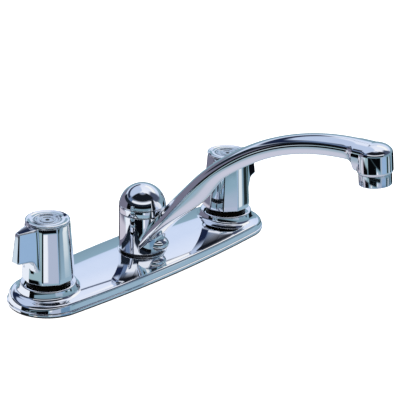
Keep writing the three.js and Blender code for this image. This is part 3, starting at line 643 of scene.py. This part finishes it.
button = {
    "radius": 10.1, "seat": 65.4, "top": 68, "seatEdge": 0.2, "dotRadius": 1.6, "dotFacing": 0.3,
    # the rings on top, as (radius, depth, fillet)
    "rings": [
        (10.1, 0, 0.5), (8.9, 0, 0.3), (8.0, 0.9, 0.4), (6.1, 0.9, 0.25), (5.7, 0.35, 0.2), (4.7, 0.35, 0.2),
        (4.2, 0.9, 0.3), (1.7, 0.9, 0.3), (1.2, 0.4, 0.2), (0, 0.3),
    ],
}


def makeButton(side, name):
    b = button
    profile = rounded([(0, b["seat"]), (b["radius"], b["seat"], b["seatEdge"])] + [
        (radius, b["top"] - depth, *fillet) for radius, depth, *fillet in b["rings"]
    ], steps=4)
    piece = meshObject(name + "IndexButton", moved(turned(profile, columns=96), aside(side)))
    piece.data.materials.append(materials["foiledAcrylic"])
    piece.data.materials.append(materials["charcoalAcetal"])
    for face in piece.data.polygons:  # the dark dot in the middle of the top
        fromAxis = math.hypot(face.center.x / mm - side * plate["holeX"], face.center.y / mm)
        if face.normal.z > b["dotFacing"] and fromAxis < b["dotRadius"]:
            face.material_index = 1
    return finishPiece(piece, None, name + "_handle", [name + "_index_button"], crease=40)


for side, name in leftAndRight:
    makeButton(side, name)
print("index buttons done")


# Bonnet nuts: a hexagon on a round flange

nut = {
    "hex": 16, "hexTop": 25.5, "hexEdge": 0.3, "hexFoot": 0.6, "hexSlope": 0.7, "hexFrom": 14,
    "topRadius": 13.8, "topEdge": 0.4, "wallSteps": 12,
    "flange": 16.8, "flangeTop": 19, "flangeFoot": 0.3, "flangeEdge": 0.5, "collar": 15.9, "collarFoot": 0.2,
    "bottom": 17.2, "bore": 13.3, "stemBore": 5.3, "roof": 2.6,
}


def hexColumns():
    # a hexagon's sides as (angle, share of the corner radius)
    count = 6 * nut["wallSteps"]
    angles = [fullTurn * i / count for i in range(count)]
    flat = math.pi / 6
    return [(angle, math.cos(flat) / math.cos((angle % (2 * flat)) - flat)) for angle in angles]


def makeBonnetNut(side, name):
    n = nut
    ceiling = n["hexTop"] - n["roof"]
    loop = [(r, z, r > n["hexFrom"] and z > n["flangeTop"]) for r, z in rounded([
        (n["bore"], n["bottom"]), (n["flange"], n["bottom"], n["flangeFoot"]),
        (n["flange"], n["flangeTop"], n["flangeEdge"]), (n["collar"], n["flangeTop"] + n["collarFoot"]),
        (n["hex"], n["flangeTop"] + n["hexFoot"]), (n["hex"], n["hexTop"] - n["hexSlope"], n["hexEdge"]),
        (n["topRadius"], n["hexTop"], n["topEdge"]), (n["stemBore"], n["hexTop"]), (n["stemBore"], ceiling),
        (n["bore"], ceiling),
    ], closed=True, steps=4)]
    piece = meshObject(name + "BonnetNut", moved(turned(loop, hexColumns()), aside(side)))
    # the nut's near-black brass is painted shade for the gap under the handle
    return finishPiece(piece, materials["shadeDarkenedBrass"], "base", [name + "_bonnet_nut"])


for side, name in leftAndRight:
    makeBonnetNut(side, name)
print("bonnet nuts done")


# Spout: hub sleeve, arched arm, rounded nose at the hub's foot and outlet

spout = {
    # hub sleeve
    "sleeveRadius": 18.9, "sleeveBottom": 13.7, "sleeveTop": 45, "bottomEdge": 0.6, "topEdge": 0.5,
    "bore": 12.8, "chamber": 15.2, "chamberBottom": 23, "chamberTop": 34.5,
    "cutterTop": 90, "cutterBelow": 5, "capGap": 0.3,
    # arm: a slope of so many degrees, an arc of a radius, then level; it starts inside the hub
    "rest": 9.4, "reach": 203.2, "rise": 52, "startRadius": 7, "startHeight": 17.3, "height": 140.7,
    "arc": 171, "sections": 170, "sides": 72,
    # its half width, height over and depth under its line, at the root, the middle and the end
    "root": (17, 11, 2.5), "middle": (8, 6.3, 7.8), "end": (9.8, 6.4, 10.2), "middleShare": 0.58,
    "belly": (0.1, 0.3, 0.43, 4.4),  # deeper underneath: start, deepest and end shares, and depth
    "blend": 7, "blendWidth": 0.3,  # the flare into the outlet
    "nose": (9, 10, 6.5), "noseReach": 14.5, "noseLift": 0.05, "noseRows": 24, "noseColumns": 72,
    # outlet, tilted with what hangs under it
    "tilt": 6.5, "outletRadius": 13.38, "outletDrop": 14.8, "outletRise": 6.6, "outletSteps": 20,
    "chamfer": (0.6, 1.4), "chamferEdge": 0.3, "wallEdge": 0.8, "shoulder": 1,
    "throat": 7, "mouth": 10.7, "mouthDepth": 7.4, "gap": 0.3, "aeratorLength": 9.2,
    "waterway": 5, "waterwaySides": 24,
}
spout["mouthDrop"] = spout["outletDrop"] + spout["gap"] + spout["aeratorLength"]
spout["armReach"] = spout["reach"] - spout["mouthDrop"] * math.sin(math.radians(spout["tilt"]))
swing = Matrix.Rotation(math.radians(spout["rest"]), 4, "Z")
outletPlace = (
    swing @ Matrix.Translation((0, -spout["armReach"], spout["height"]))
    @ Matrix.Rotation(math.radians(-spout["tilt"]), 4, "X")
)


def armLine():
    # (reach, height, heading, share) along the arm's widest line: a slope, a long arc, then level
    s = spout
    slope = math.radians(s["rise"])
    arcRise, arcRun = s["arc"] * (1 - math.cos(slope)), s["arc"] * math.sin(slope)
    rampRise = s["height"] - arcRise - s["startHeight"]
    rampRun = rampRise / math.tan(slope)
    ramp, arc = math.hypot(rampRun, rampRise), s["arc"] * slope
    level = s["armReach"] - s["startRadius"] - rampRun - arcRun
    total = ramp + arc + level
    for k in range(s["sections"] + 1):
        share = k / s["sections"]
        travelled = share * total
        if travelled < ramp:
            part = travelled / ramp
            yield s["startRadius"] + rampRun * part, s["startHeight"] + rampRise * part, slope, share
        elif travelled < ramp + arc:
            heading = slope - (travelled - ramp) / s["arc"]
            reach = s["startRadius"] + rampRun + arcRun - s["arc"] * math.sin(heading)
            yield reach, s["height"] - s["arc"] * (1 - math.cos(heading)), heading, share
        else:
            yield s["armReach"] - (total - travelled), s["height"], 0, share


def armSize(reach, share):
    # half width, height over and depth under the line at one place
    s = spout
    taper = smooth(share / s["middleShare"])
    swell = smooth((share - s["middleShare"]) / (1 - s["middleShare"]))
    width, crown, keel = [
        between(between(root, middle, taper), end, swell)
        for root, middle, end in zip(s["root"], s["middle"], s["end"])
    ]
    first, deepest, last, depth = s["belly"]
    sinks, lifts = smooth((share - first) / (deepest - first)), smooth((share - deepest) / (last - deepest))
    keel += depth * (sinks - lifts)
    fromOutlet = s["armReach"] - s["outletRadius"] - reach
    flare = min(max(s["blend"] - fromOutlet, 0), s["blend"])
    flare = s["blend"] - math.sqrt(s["blend"] ** 2 - flare ** 2)
    return width + s["blendWidth"] * flare, crown, keel + flare


def armRings(sides, waterway=None):
    # the arm's outside, or the waterway through it
    rings = []
    for reach, height, heading, share in armLine():
        width, crown, keel = armSize(reach, share)
        if waterway:
            lift = (crown - keel) / 2
            width, crown, keel = waterway, waterway + lift, waterway - lift
        up = Vector((0, math.sin(heading), math.cos(heading)))
        ring = []
        for i in range(sides):
            angle = fullTurn * i / sides
            lift = math.sin(angle) * (crown if angle < math.pi else keel)
            ring.append(tuple(swing @ (Vector((width * math.cos(angle), -reach, height)) + up * lift)))
        rings.append(ring)
    return rings


def sleeveShell():
    s = spout
    return turned(rounded([
        (0, s["sleeveBottom"]), (s["sleeveRadius"], s["sleeveBottom"], s["bottomEdge"]),
        (s["sleeveRadius"], s["sleeveTop"], s["topEdge"]), (0, s["sleeveTop"]),
    ]), columns=180)


def outletShell():
    s = spout
    inset, rise = s["chamfer"]
    profile = rounded([
        (0, -s["outletDrop"]), (s["outletRadius"] - inset, -s["outletDrop"], s["chamferEdge"]),
        (s["outletRadius"], rise - s["outletDrop"], s["wallEdge"]), (s["outletRadius"], -s["shoulder"]),
    ])
    for k in range(1, s["outletSteps"]):  # the rounded top
        turn = math.pi / 2 * k / s["outletSteps"]
        height = -s["shoulder"] + (s["outletRise"] + s["shoulder"]) * math.sin(turn)
        profile.append((s["outletRadius"] * math.cos(turn), height))
    return moved(turned(profile + [(0, s["outletRise"])], columns=180), outletPlace)


def noseShell():
    s = spout
    place = Matrix.Translation((0, -s["noseReach"], s["sleeveBottom"] + s["nose"][2] + s["noseLift"]))
    turns = [math.pi * (k / s["noseRows"] - 0.5) for k in range(1, s["noseRows"])]
    ball = [(0, -1)] + [(math.cos(turn), math.sin(turn)) for turn in turns] + [(0, 1)]
    return moved(turned(ball, s["noseColumns"]), swing @ (place @ Matrix.Diagonal((*s["nose"], 1))))


def makeSpout():
    s = spout
    top, seat = s["cutterTop"], s["mouthDepth"] - s["outletDrop"]
    below = -s["outletDrop"] - s["cutterBelow"]
    piece = meshObject("spout", sleeveShell())
    arm = meshObject("arm", lofted(armRings(s["sides"])))
    over = turned(rod(s["sleeveRadius"] + s["capGap"], s["sleeveTop"], top), columns=180)
    carve(arm, "DIFFERENCE", meshObject("over", over))
    carve(piece, "UNION", arm, meshObject("outlet", outletShell()), meshObject("nose", noseShell()))
    hollow = [
        (0, 0), (s["bore"], 0), (s["bore"], s["chamberBottom"]), (s["chamber"], s["chamberBottom"]),
        (s["chamber"], s["chamberTop"]), (s["bore"], s["chamberTop"]), (s["bore"], top), (0, top),
    ]
    mouth = [
        (0, below), (s["mouth"], below), (s["mouth"], seat), (s["throat"], seat), (s["throat"], 0), (0, 0),
    ]
    carve(
        piece, "DIFFERENCE",
        meshObject("waterway", lofted(armRings(s["waterwaySides"], s["waterway"]))),
        meshObject("hollow", turned(hollow, columns=120)),
        meshObject("mouth", moved(turned(mouth, columns=96), outletPlace)),
    )
    return finishPiece(piece, chromeCasting, "spout", ["spout"], crease=35)


makeSpout()
print("spout done")


# Dome cap: a ball on a short wall, with a line round it, screwed on the post

dome = {
    "radius": 18.9, "centre": 49, "bottom": 45.3, "bottomEdge": 0.5, "ballSteps": 40, "wall": 2.8,
    "line": 51.2, "lineDepth": 0.55, "lineEdge": 0.2, "lineFloor": 0.25, "lineEnd": 0.6,
    # inside: the glide washer's seat, the hollow round the screwed boss, and the post's spigot
    "glide": 17.1, "seat": 46.5, "bossRadius": 12, "hollowFoot": 45.5, "hollowShare": 0.55,
    "spigot": 9.3, "spigotTop": 53.8, "cutterBottom": 44,
}


def makeDomeCap():
    d = dome
    radius, centre, foot = d["radius"], d["centre"], d["cutterBottom"]
    low, high = d["line"] - d["lineDepth"], d["line"] + d["lineDepth"]
    over = high + d["lineEnd"]

    def reachAt(height):
        return math.sqrt(radius ** 2 - (height - centre) ** 2)

    outside = rounded([
        (0, d["bottom"]), (radius, d["bottom"], d["bottomEdge"]), (radius, centre),
        (reachAt(low), low, d["lineEdge"]), (reachAt(d["line"]) - d["lineDepth"], d["line"], d["lineFloor"]),
        (reachAt(high), high, d["lineEdge"]), (reachAt(over), over),
    ], steps=4)
    first = math.asin((over - centre) / radius)
    for k in range(1, d["ballSteps"]):
        turn = between(first, math.pi / 2, k / d["ballSteps"])
        outside.append((radius * math.cos(turn), centre + radius * math.sin(turn)))
    outside.append((0, centre + radius))
    piece = meshObject("domeCap", turned(outside, columns=180))
    inner = radius - d["wall"]
    cuts = {
        "seat": rod(d["glide"], foot, d["seat"]),
        "hollow": [
            (d["bossRadius"], d["hollowFoot"]), (inner, d["hollowFoot"]), (inner, centre),
            (d["bossRadius"], centre + d["hollowShare"] * radius),
        ],
        "spigot": rod(d["spigot"], foot, d["spigotTop"]),
    }
    cutters = [meshObject(name, turned(profile, columns=120)) for name, profile in cuts.items()]
    carve(piece, "DIFFERENCE", *cutters)
    return finishPiece(piece, chromeCasting, "base", ["dome_cap"], crease=35)


# Slip ring: the dark band between the plate and the hub

slipRing = {"radius": 18.2, "bore": 12.8, "bottom": 12, "top": 13.4, "bottomEdge": 0.3, "topEdge": 0.5}


def makeSlipRing():
    r = slipRing
    loop = rounded([
        (r["bore"], r["bottom"]), (r["radius"], r["bottom"], r["bottomEdge"]),
        (r["radius"], r["top"], r["topEdge"]), (r["bore"], r["top"]),
    ], closed=True, steps=5)
    piece = meshObject("slipRing", turned(loop, columns=120))
    return finishPiece(piece, materials["charcoalAcetal"], "base", ["spout_slip_ring"])


# Aerator housing: a ring under the outlet, with a sleeve that screws into it and a lip that holds the
# insert; heights are from the middle of the outlet

aerator = {
    "radius": 12.1, "bottomEdge": 0.7, "topEdge": 0.5, "sleeve": 10.4, "bore": 9.6, "thread": 5.2,
    "lip": 1.3, "lipWidth": 0.8, "lipEdge": 0.2,
}


def makeAeratorHousing():
    a, s = aerator, spout
    bottom, shoulder = -s["mouthDrop"], -s["outletDrop"] - s["gap"]
    top, lip = a["thread"] - s["outletDrop"], a["bore"] - a["lipWidth"]
    loop = rounded([
        (lip, bottom, a["lipEdge"]), (a["radius"], bottom, a["bottomEdge"]),
        (a["radius"], shoulder, a["topEdge"]), (a["sleeve"], shoulder), (a["sleeve"], top), (a["bore"], top),
        (a["bore"], bottom + a["lip"]), (lip, bottom + a["lip"]),
    ], closed=True, steps=5)
    piece = meshObject("aeratorHousing", moved(turned(loop, columns=144), outletPlace))
    finish = materials["dulledChrome"]
    return finishPiece(piece, finish, "spout", ["aerator_housing"], crease=35)


makeDomeCap()
makeSlipRing()
makeAeratorHousing()
print("hub and aerator done")


# Geometry Nodes for what repeats: the thread's turns and the aerator's holes

def newGroup(name, inputs):
    tree = bpy.data.node_groups.new(name, "GeometryNodeTree")
    tree.interface.new_socket("Geometry", in_out="INPUT", socket_type="NodeSocketGeometry")
    for label, kind in inputs.items():
        tree.interface.new_socket(label, in_out="INPUT", socket_type="NodeSocket" + kind)
    tree.interface.new_socket("Geometry", in_out="OUTPUT", socket_type="NodeSocketGeometry")
    return tree, addNode(tree, "NodeGroupInput").outputs


def paintedOutput(tree, geometry, given):
    whole = addNode(tree, "GeometryNodeRealizeInstances", {"Geometry": geometry}).outputs[0]
    painted = addNode(tree, "GeometryNodeSetMaterial", {"Geometry": whole, "Material": given["Material"]})
    addNode(tree, "NodeGroupOutput", {"Geometry": painted.outputs[0]})


def grow(piece, tree, values):
    # runs the group on the piece and keeps what comes out as a plain mesh
    step = piece.modifiers.new(tree.name, "NODES")
    step.node_group = tree
    for socket in tree.interface.items_tree:
        if socket.name in values:
            step[socket.identifier] = values[socket.name]
    plainMesh(piece)


def threadGroup():
    # a row of ridges down from Top, joined to the piece
    tree, given = newGroup("thread", {
        "Turns": "Int", "Pitch": "Float", "Radius": "Float", "Ridge": "Float", "Top": "Float",
        "Material": "Material",
    })
    loop = addNode(tree, "GeometryNodeCurvePrimitiveCircle", {"Resolution": 56, "Radius": given["Radius"]})
    section = addNode(tree, "GeometryNodeCurvePrimitiveCircle", {"Resolution": 6, "Radius": given["Ridge"]})
    ridge = addNode(tree, "GeometryNodeCurveToMesh", {
        "Curve": loop.outputs[0], "Profile Curve": section.outputs[0],
    })
    top = addNode(tree, "ShaderNodeCombineXYZ", {"Z": given["Top"]})
    down = addNode(tree, "ShaderNodeMath", {0: given["Pitch"], 1: -1}, operation="MULTIPLY")
    step = addNode(tree, "ShaderNodeCombineXYZ", {"Z": down.outputs[0]})
    line = addNode(tree, "GeometryNodeMeshLine", {
        "Count": given["Turns"], "Start Location": top.outputs[0], "Offset": step.outputs[0],
    })
    turns = addNode(tree, "GeometryNodeInstanceOnPoints", {
        "Points": line.outputs[0], "Instance": ridge.outputs[0],
    })
    both = addNode(tree, "GeometryNodeJoinGeometry")
    for part in (turns.outputs[0], given["Geometry"]):
        tree.links.new(part, both.inputs[0])
    paintedOutput(tree, both.outputs[0], given)
    return tree


def perforationGroup(circles):
    # drills one hole in the middle and circles of 6, 12, 18 ... round it
    tree, given = newGroup("perforation", {
        "Spacing": "Float", "Hole Radius": "Float", "Depth": "Float", "Material": "Material",
    })
    middle = addNode(tree, "GeometryNodePoints", {"Count": 1})
    spots = addNode(tree, "GeometryNodeJoinGeometry")
    tree.links.new(middle.outputs[0], spots.inputs[0])
    for k in range(1, circles + 1):
        radius = addNode(tree, "ShaderNodeMath", {0: given["Spacing"], 1: k}, operation="MULTIPLY")
        loop = addNode(tree, "GeometryNodeMeshCircle", {"Vertices": 6 * k, "Radius": radius.outputs[0]})
        points = addNode(tree, "GeometryNodeMeshToPoints", {"Mesh": loop.outputs[0]})
        tree.links.new(points.outputs[0], spots.inputs[0])
    drill = addNode(tree, "GeometryNodeMeshCylinder", {
        "Vertices": 14, "Radius": given["Hole Radius"], "Depth": given["Depth"],
    })
    drills = addNode(tree, "GeometryNodeInstanceOnPoints", {
        "Points": spots.outputs[0], "Instance": drill.outputs[0],
    })
    bits = addNode(tree, "GeometryNodeRealizeInstances", {0: drills.outputs[0]})
    cut = addNode(tree, "GeometryNodeMeshBoolean", operation="DIFFERENCE")
    tree.links.new(given["Geometry"], cut.inputs["Mesh 1"])
    tree.links.new(bits.outputs[0], cut.inputs["Mesh 2"])
    paintedOutput(tree, cut.outputs[0], given)
    return tree


# Valve bodies: the CAD body with the pipe thread's ridges round its shank

thread = {"turns": 30, "pitch": 1.8, "radius": 10.1, "ridge": 0.5, "top": -3}
pipeThread = threadGroup()


def makeValveBody(side, name):
    node, finish = name + "_valve_body", materials["machinedBrass"]
    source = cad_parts[node]
    piece = bpy.data.objects.new(name + "ValveBody", source.data.copy())
    scene.collection.objects.link(piece)
    piece.data.transform(aside(-side, mm) @ source.matrix_world)
    mergeCorners(piece.data)
    grow(piece, pipeThread, {
        "Turns": thread["turns"], "Pitch": thread["pitch"] * mm, "Radius": thread["radius"] * mm,
        "Ridge": thread["ridge"] * mm, "Top": thread["top"] * mm, "Material": finish,
    })
    piece.data.transform(aside(side, mm))
    return finishPiece(piece, finish, "base", [node])


for side, name in leftAndRight:
    makeValveBody(side, name)


# Aerator insert: a cup with a floor full of holes

insert = {
    "radius": 9.3, "wall": 1.5, "floor": 2, "edge": 0.3, "lift": 1.6,
    "circles": 3, "spacing": 2.2, "hole": 0.55,
}
perforation = perforationGroup(insert["circles"])


def makeAeratorInsert():
    c, finish = insert, materials["whiteAcetal"]
    bottom, top = c["lift"] - spout["mouthDrop"], aerator["thread"] - spout["outletDrop"]
    inner, height = c["radius"] - c["wall"], top - bottom
    cup = turned(rounded([
        (0, 0), (c["radius"], 0, c["edge"]), (c["radius"], height, c["edge"]), (inner, height, c["edge"]),
        (inner, c["floor"]), (0, c["floor"]),
    ], steps=4), columns=96)
    piece = meshObject("aeratorInsert", cup)
    grow(piece, perforation, {
        "Spacing": c["spacing"] * mm, "Hole Radius": c["hole"] * mm, "Depth": 3 * c["floor"] * mm,
        "Material": finish,
    })
    place = outletPlace @ Matrix.Translation((0, 0, bottom))
    place.translation *= mm
    piece.data.transform(place)
    return finishPiece(piece, finish, "spout", ["aerator_insert"])


makeAeratorInsert()
print("thread and aerator insert done")


# The turned pieces inside and under the deck keep their CAD meshes

pairFinishes = {
    "stem": "machinedBrass", "mounting_nut": "machinedBrass", "seat": "nitrileRubber",
    "stem_o_ring": "nitrileRubber", "seat_spring": "brushedSteel", "handle_screw": "brushedSteel",
    "mounting_washer": "brushedSteel", "supply_tube": "drawnCopper",
}
finishes = {
    "spout_post": "machinedBrass", "lower_spout_o_ring": "nitrileRubber",
    "upper_spout_o_ring": "nitrileRubber", "spout_glide_washer": "whiteAcetal",
    "aerator_washer": "nitrileRubber",
}
for _, name in leftAndRight:
    finishes.update({f"{name}_{node}": finish for node, finish in pairFinishes.items()})
for node, finish in finishes.items():
    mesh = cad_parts[node].data
    mesh.materials.clear()
    mesh.materials.append(materials[finish])
print("kept CAD pieces:", len(finishes))


# Camera at the photograph's angle, worked out for a picture 400 wide and 400 high

camera = {
    "azimuth": 48.02, "elevation": 22.57, "roll": 1.5, "distance": 1244.2, "focal": 1533.5,
    "right": 45.85, "up": 50.8, "sensor": 36, "frame": 400,
}


def makeCamera():
    c = camera
    a, e, roll = (math.radians(c[key]) for key in ("azimuth", "elevation", "roll"))
    right = Vector((math.cos(a), -math.sin(a), 0))
    ahead = Vector((math.sin(a) * math.cos(e), math.cos(a) * math.cos(e), -math.sin(e)))
    up = Vector((math.sin(a) * math.sin(e), math.cos(a) * math.sin(e), math.cos(e)))
    place = (right * c["right"] + up * c["up"] - ahead * c["distance"]) * mm
    right, up = (
        math.cos(roll) * right + math.sin(roll) * up, math.cos(roll) * up - math.sin(roll) * right,
    )
    data = bpy.data.cameras.new("camera")
    data.sensor_width = c["sensor"]
    data.lens = c["sensor"] * c["focal"] / c["frame"]
    data.clip_end = 20
    view = bpy.data.objects.new("camera", data)
    scene.collection.objects.link(view)
    view.matrix_world = Matrix((
        (right.x, up.x, -ahead.x, place.x), (right.y, up.y, -ahead.y, place.y),
        (right.z, up.z, -ahead.z, place.z), (0, 0, 0, 1),
    ))
    scene.camera = view


makeCamera()


# Studio that the chrome mirrors: a pale sky over blue-grey walls and a lilac floor, with cards.
# Angles in degrees: azimuth from +X towards +Y, elevation from the horizon.

studio = {
    "dome": [  # elevation and colour
        (-90, "#D3D2E2"), (-58, "#C9CCDC"), (-44, "#A3B6C4"), (-30, "#97B3C5"), (-12, "#8CAEC0"),
        (0, "#7C98A8"), (19, "#8FADBF"), (20, "#CFDEF8"), (34, "#E2EBFE"), (60, "#EBF0FE"), (90, "#F6F8FF"),
    ],
    "cards": [
        # azimuth, half width, elevation, half height, colour, softness
        (112, 40, -2, 20, "#77768A", 5),
        (112, 36, -30, 10, "#CBC7D5", 3),
        (118, 62, 56, 26, "#C0CFEA", 12),
        (150, 22, 32, 9, "#6B80A3", 10),
        (61, 19, -24, 7, "#0A0C10", 3),
        (158, 14.5, -4, 30, "#050607", 3),
        (191, 5, -25.6, 2.4, "#FFFFFF", 1.2),
        (148, 19, -16.5, 3.2, "#D2E2EE", 3),
        (169, 11, -16.5, 3.6, "#9DB9C2", 2),
        (201, 25, -18, 4.6, "#06080C", 1),
        (210, 42, -10.2, 3.4, "#06080C", 1.5),
        (247, 15, -19.4, 4.6, "#B4BED4", 1.5),
        (233, 4, -18, 3, "#F4F8FF", 1.5),
        (268, 14, -10, 9, "#A8B8CB", 4),
        (276, 14, -13, 6, "#97B6D8", 4),
        (276, 14, -23, 5, "#6F91B0", 4),
        (315, 15, -15, 5, "#829FB4", 3),
        (313, 3, -15, 5, "#E6EEF2", 2),
        (300, 5, -15, 7, "#26332F", 2),
        (323, 4, -14, 5.5, "#1E2A2B", 2),
        (317, 16, -24, 5, "#9AB6C9", 3),
        (2, 20, -12, 8, "#0A0C12", 3),
        (24, 5, -17, 5, "#54706F", 2),
        (305, 35, 38, 24, "#4A536A", 16),
        (92, 42, 33, 5.4, "#1C2744", 4.5),
        (222, 62, 84, 12, "#8794B0", 25),
        (222, 80, 58, 20, "#171B23", 12),
        (222, 60, 31, 4.5, "#F2F5FC", 2.5),
        (185, 85, 19.5, 6.5, "#1C2430", 2.5),
        (222, 50, 10, 6, "#0A0C10", 3),
        (25, 35, 36.6, 0.5, "#56617A", 0.6),
        (7, 28, 44, 7, "#FFFFFF", 4),
    ],
    "light": "#F5F6FA",
}


def makeWorld():
    world = bpy.data.worlds.new("studio")
    scene.world = world
    world.use_nodes = True
    tree = world.node_tree
    tree.nodes.clear()
    direction = addNode(tree, "ShaderNodeTexCoord").outputs["Generated"]
    way = addNode(tree, "ShaderNodeSeparateXYZ", {0: direction})

    def maths(operation, *values):
        return addNode(tree, "ShaderNodeMath", dict(enumerate(values)), operation=operation).outputs[0]

    def near(value, centre, half, soft):
        # 1 inside a window, 0 outside, with a soft edge
        away = maths("ABSOLUTE", maths("WRAP", maths("SUBTRACT", value, centre), 180, -180))
        return addNode(tree, "ShaderNodeMapRange", {
            "Value": away, "From Min": half + soft / 2, "From Max": half - soft / 2,
        }, interpolation_type="SMOOTHSTEP").outputs[0]

    elevation = maths("DEGREES", maths("ARCSINE", way.outputs[2]))
    azimuth = maths("DEGREES", maths("ARCTAN2", way.outputs[1], way.outputs[0]))
    lift = addNode(tree, "ShaderNodeMapRange", {"Value": elevation, "From Min": -90, "From Max": 90})
    ramp = addNode(tree, "ShaderNodeValToRGB", {"Fac": lift.outputs[0]})
    stops = ramp.color_ramp.elements
    for _ in range(len(studio["dome"]) - 2):
        stops.new(0.5)
    for stop, (angle, colour) in zip(stops, studio["dome"]):
        stop.position = (angle + 90) / 180
        stop.color = linear(colour)
    seen = ramp.outputs[0]
    for centre, half, height, halfHeight, colour, soft in studio["cards"]:
        across, upright = near(azimuth, centre, half, soft), near(elevation, height, halfHeight, soft)
        seen = addNode(tree, "ShaderNodeMix", {
            "Factor": maths("MULTIPLY", across, upright), "A": seen, "B": linear(colour),
        }, data_type="RGBA").outputs["Result"]
    ray = addNode(tree, "ShaderNodeLightPath").outputs
    backdrop = maths("MAXIMUM", ray["Is Camera Ray"], ray["Is Transmission Ray"])
    plain = addNode(tree, "ShaderNodeMix", {
        "Factor": backdrop, "A": linear(studio["light"]), "B": (1, 1, 1, 1),
    }, data_type="RGBA").outputs["Result"]
    shown = addNode(tree, "ShaderNodeMix", {
        "Factor": ray["Is Glossy Ray"], "A": plain, "B": seen,
    }, data_type="RGBA").outputs["Result"]
    back = addNode(tree, "ShaderNodeBackground", {"Color": shown, "Strength": 1})
    addNode(tree, "ShaderNodeOutputWorld", {"Surface": back.outputs[0]})


makeWorld()


# Floor: the sink deck, white to the camera, with only the faucet's faint shadow

floor = {"size": 4000, "colour": "#FFFFFF", "glow": 0.72}


def makeFloor():
    half = floor["size"] / 2
    corners = [(-half, -half, 0), (half, -half, 0), (half, half, 0), (-half, half, 0)]
    piece = meshObject("floor", (corners, [(0, 1, 2, 3)]))
    sheet = bpy.data.materials.new("whiteLaminate")
    sheet.use_nodes = True
    tree = sheet.node_tree
    tree.nodes.clear()
    lit = addNode(tree, "ShaderNodeBsdfDiffuse", {"Color": linear(floor["colour"])})
    ray = addNode(tree, "ShaderNodeLightPath").outputs
    glow = addNode(tree, "ShaderNodeMath", {0: ray["Is Camera Ray"], 1: floor["glow"]}, operation="MULTIPLY")
    shine = addNode(tree, "ShaderNodeEmission", {"Color": (1, 1, 1, 1), "Strength": glow.outputs[0]})
    both = addNode(tree, "ShaderNodeAddShader", {0: lit.outputs[0], 1: shine.outputs[0]})
    addNode(tree, "ShaderNodeOutputMaterial", {"Surface": both.outputs[0]})
    piece.data.materials.append(sheet)
    piece.visible_glossy = False  # the chrome mirrors the studio's lower half there


makeFloor()


# Bounce strip: a low white card bent round the plate's left end, seen only in the chrome

strip = {"radius": 80, "from": 92, "to": 160, "bottom": -45, "top": 22, "colour": "#F1F6FF", "steps": 24}


def makeStrip():
    verts, faces = [], []
    radius = strip["radius"]
    for k in range(strip["steps"] + 1):
        angle = math.radians(between(strip["from"], strip["to"], k / strip["steps"]))
        x, y = radius * math.cos(angle) - plate["holeX"], radius * math.sin(angle)
        verts += [(x, y, strip["bottom"]), (x, y, strip["top"])]
        if k:
            faces.append((2 * k - 2, 2 * k - 1, 2 * k + 1, 2 * k))
    piece = meshObject("bounceStrip", (verts, faces))
    card = bpy.data.materials.new("whiteCard")
    card.use_nodes = True
    tree = card.node_tree
    tree.nodes.clear()
    shine = addNode(tree, "ShaderNodeEmission", {"Color": linear(strip["colour"]), "Strength": 1})
    addNode(tree, "ShaderNodeOutputMaterial", {"Surface": shine.outputs[0]})
    piece.data.materials.append(card)
    piece.visible_camera = piece.visible_diffuse = piece.visible_shadow = piece.visible_transmission = False


makeStrip()

scene.view_settings.view_transform = "Standard"
print("stage done")
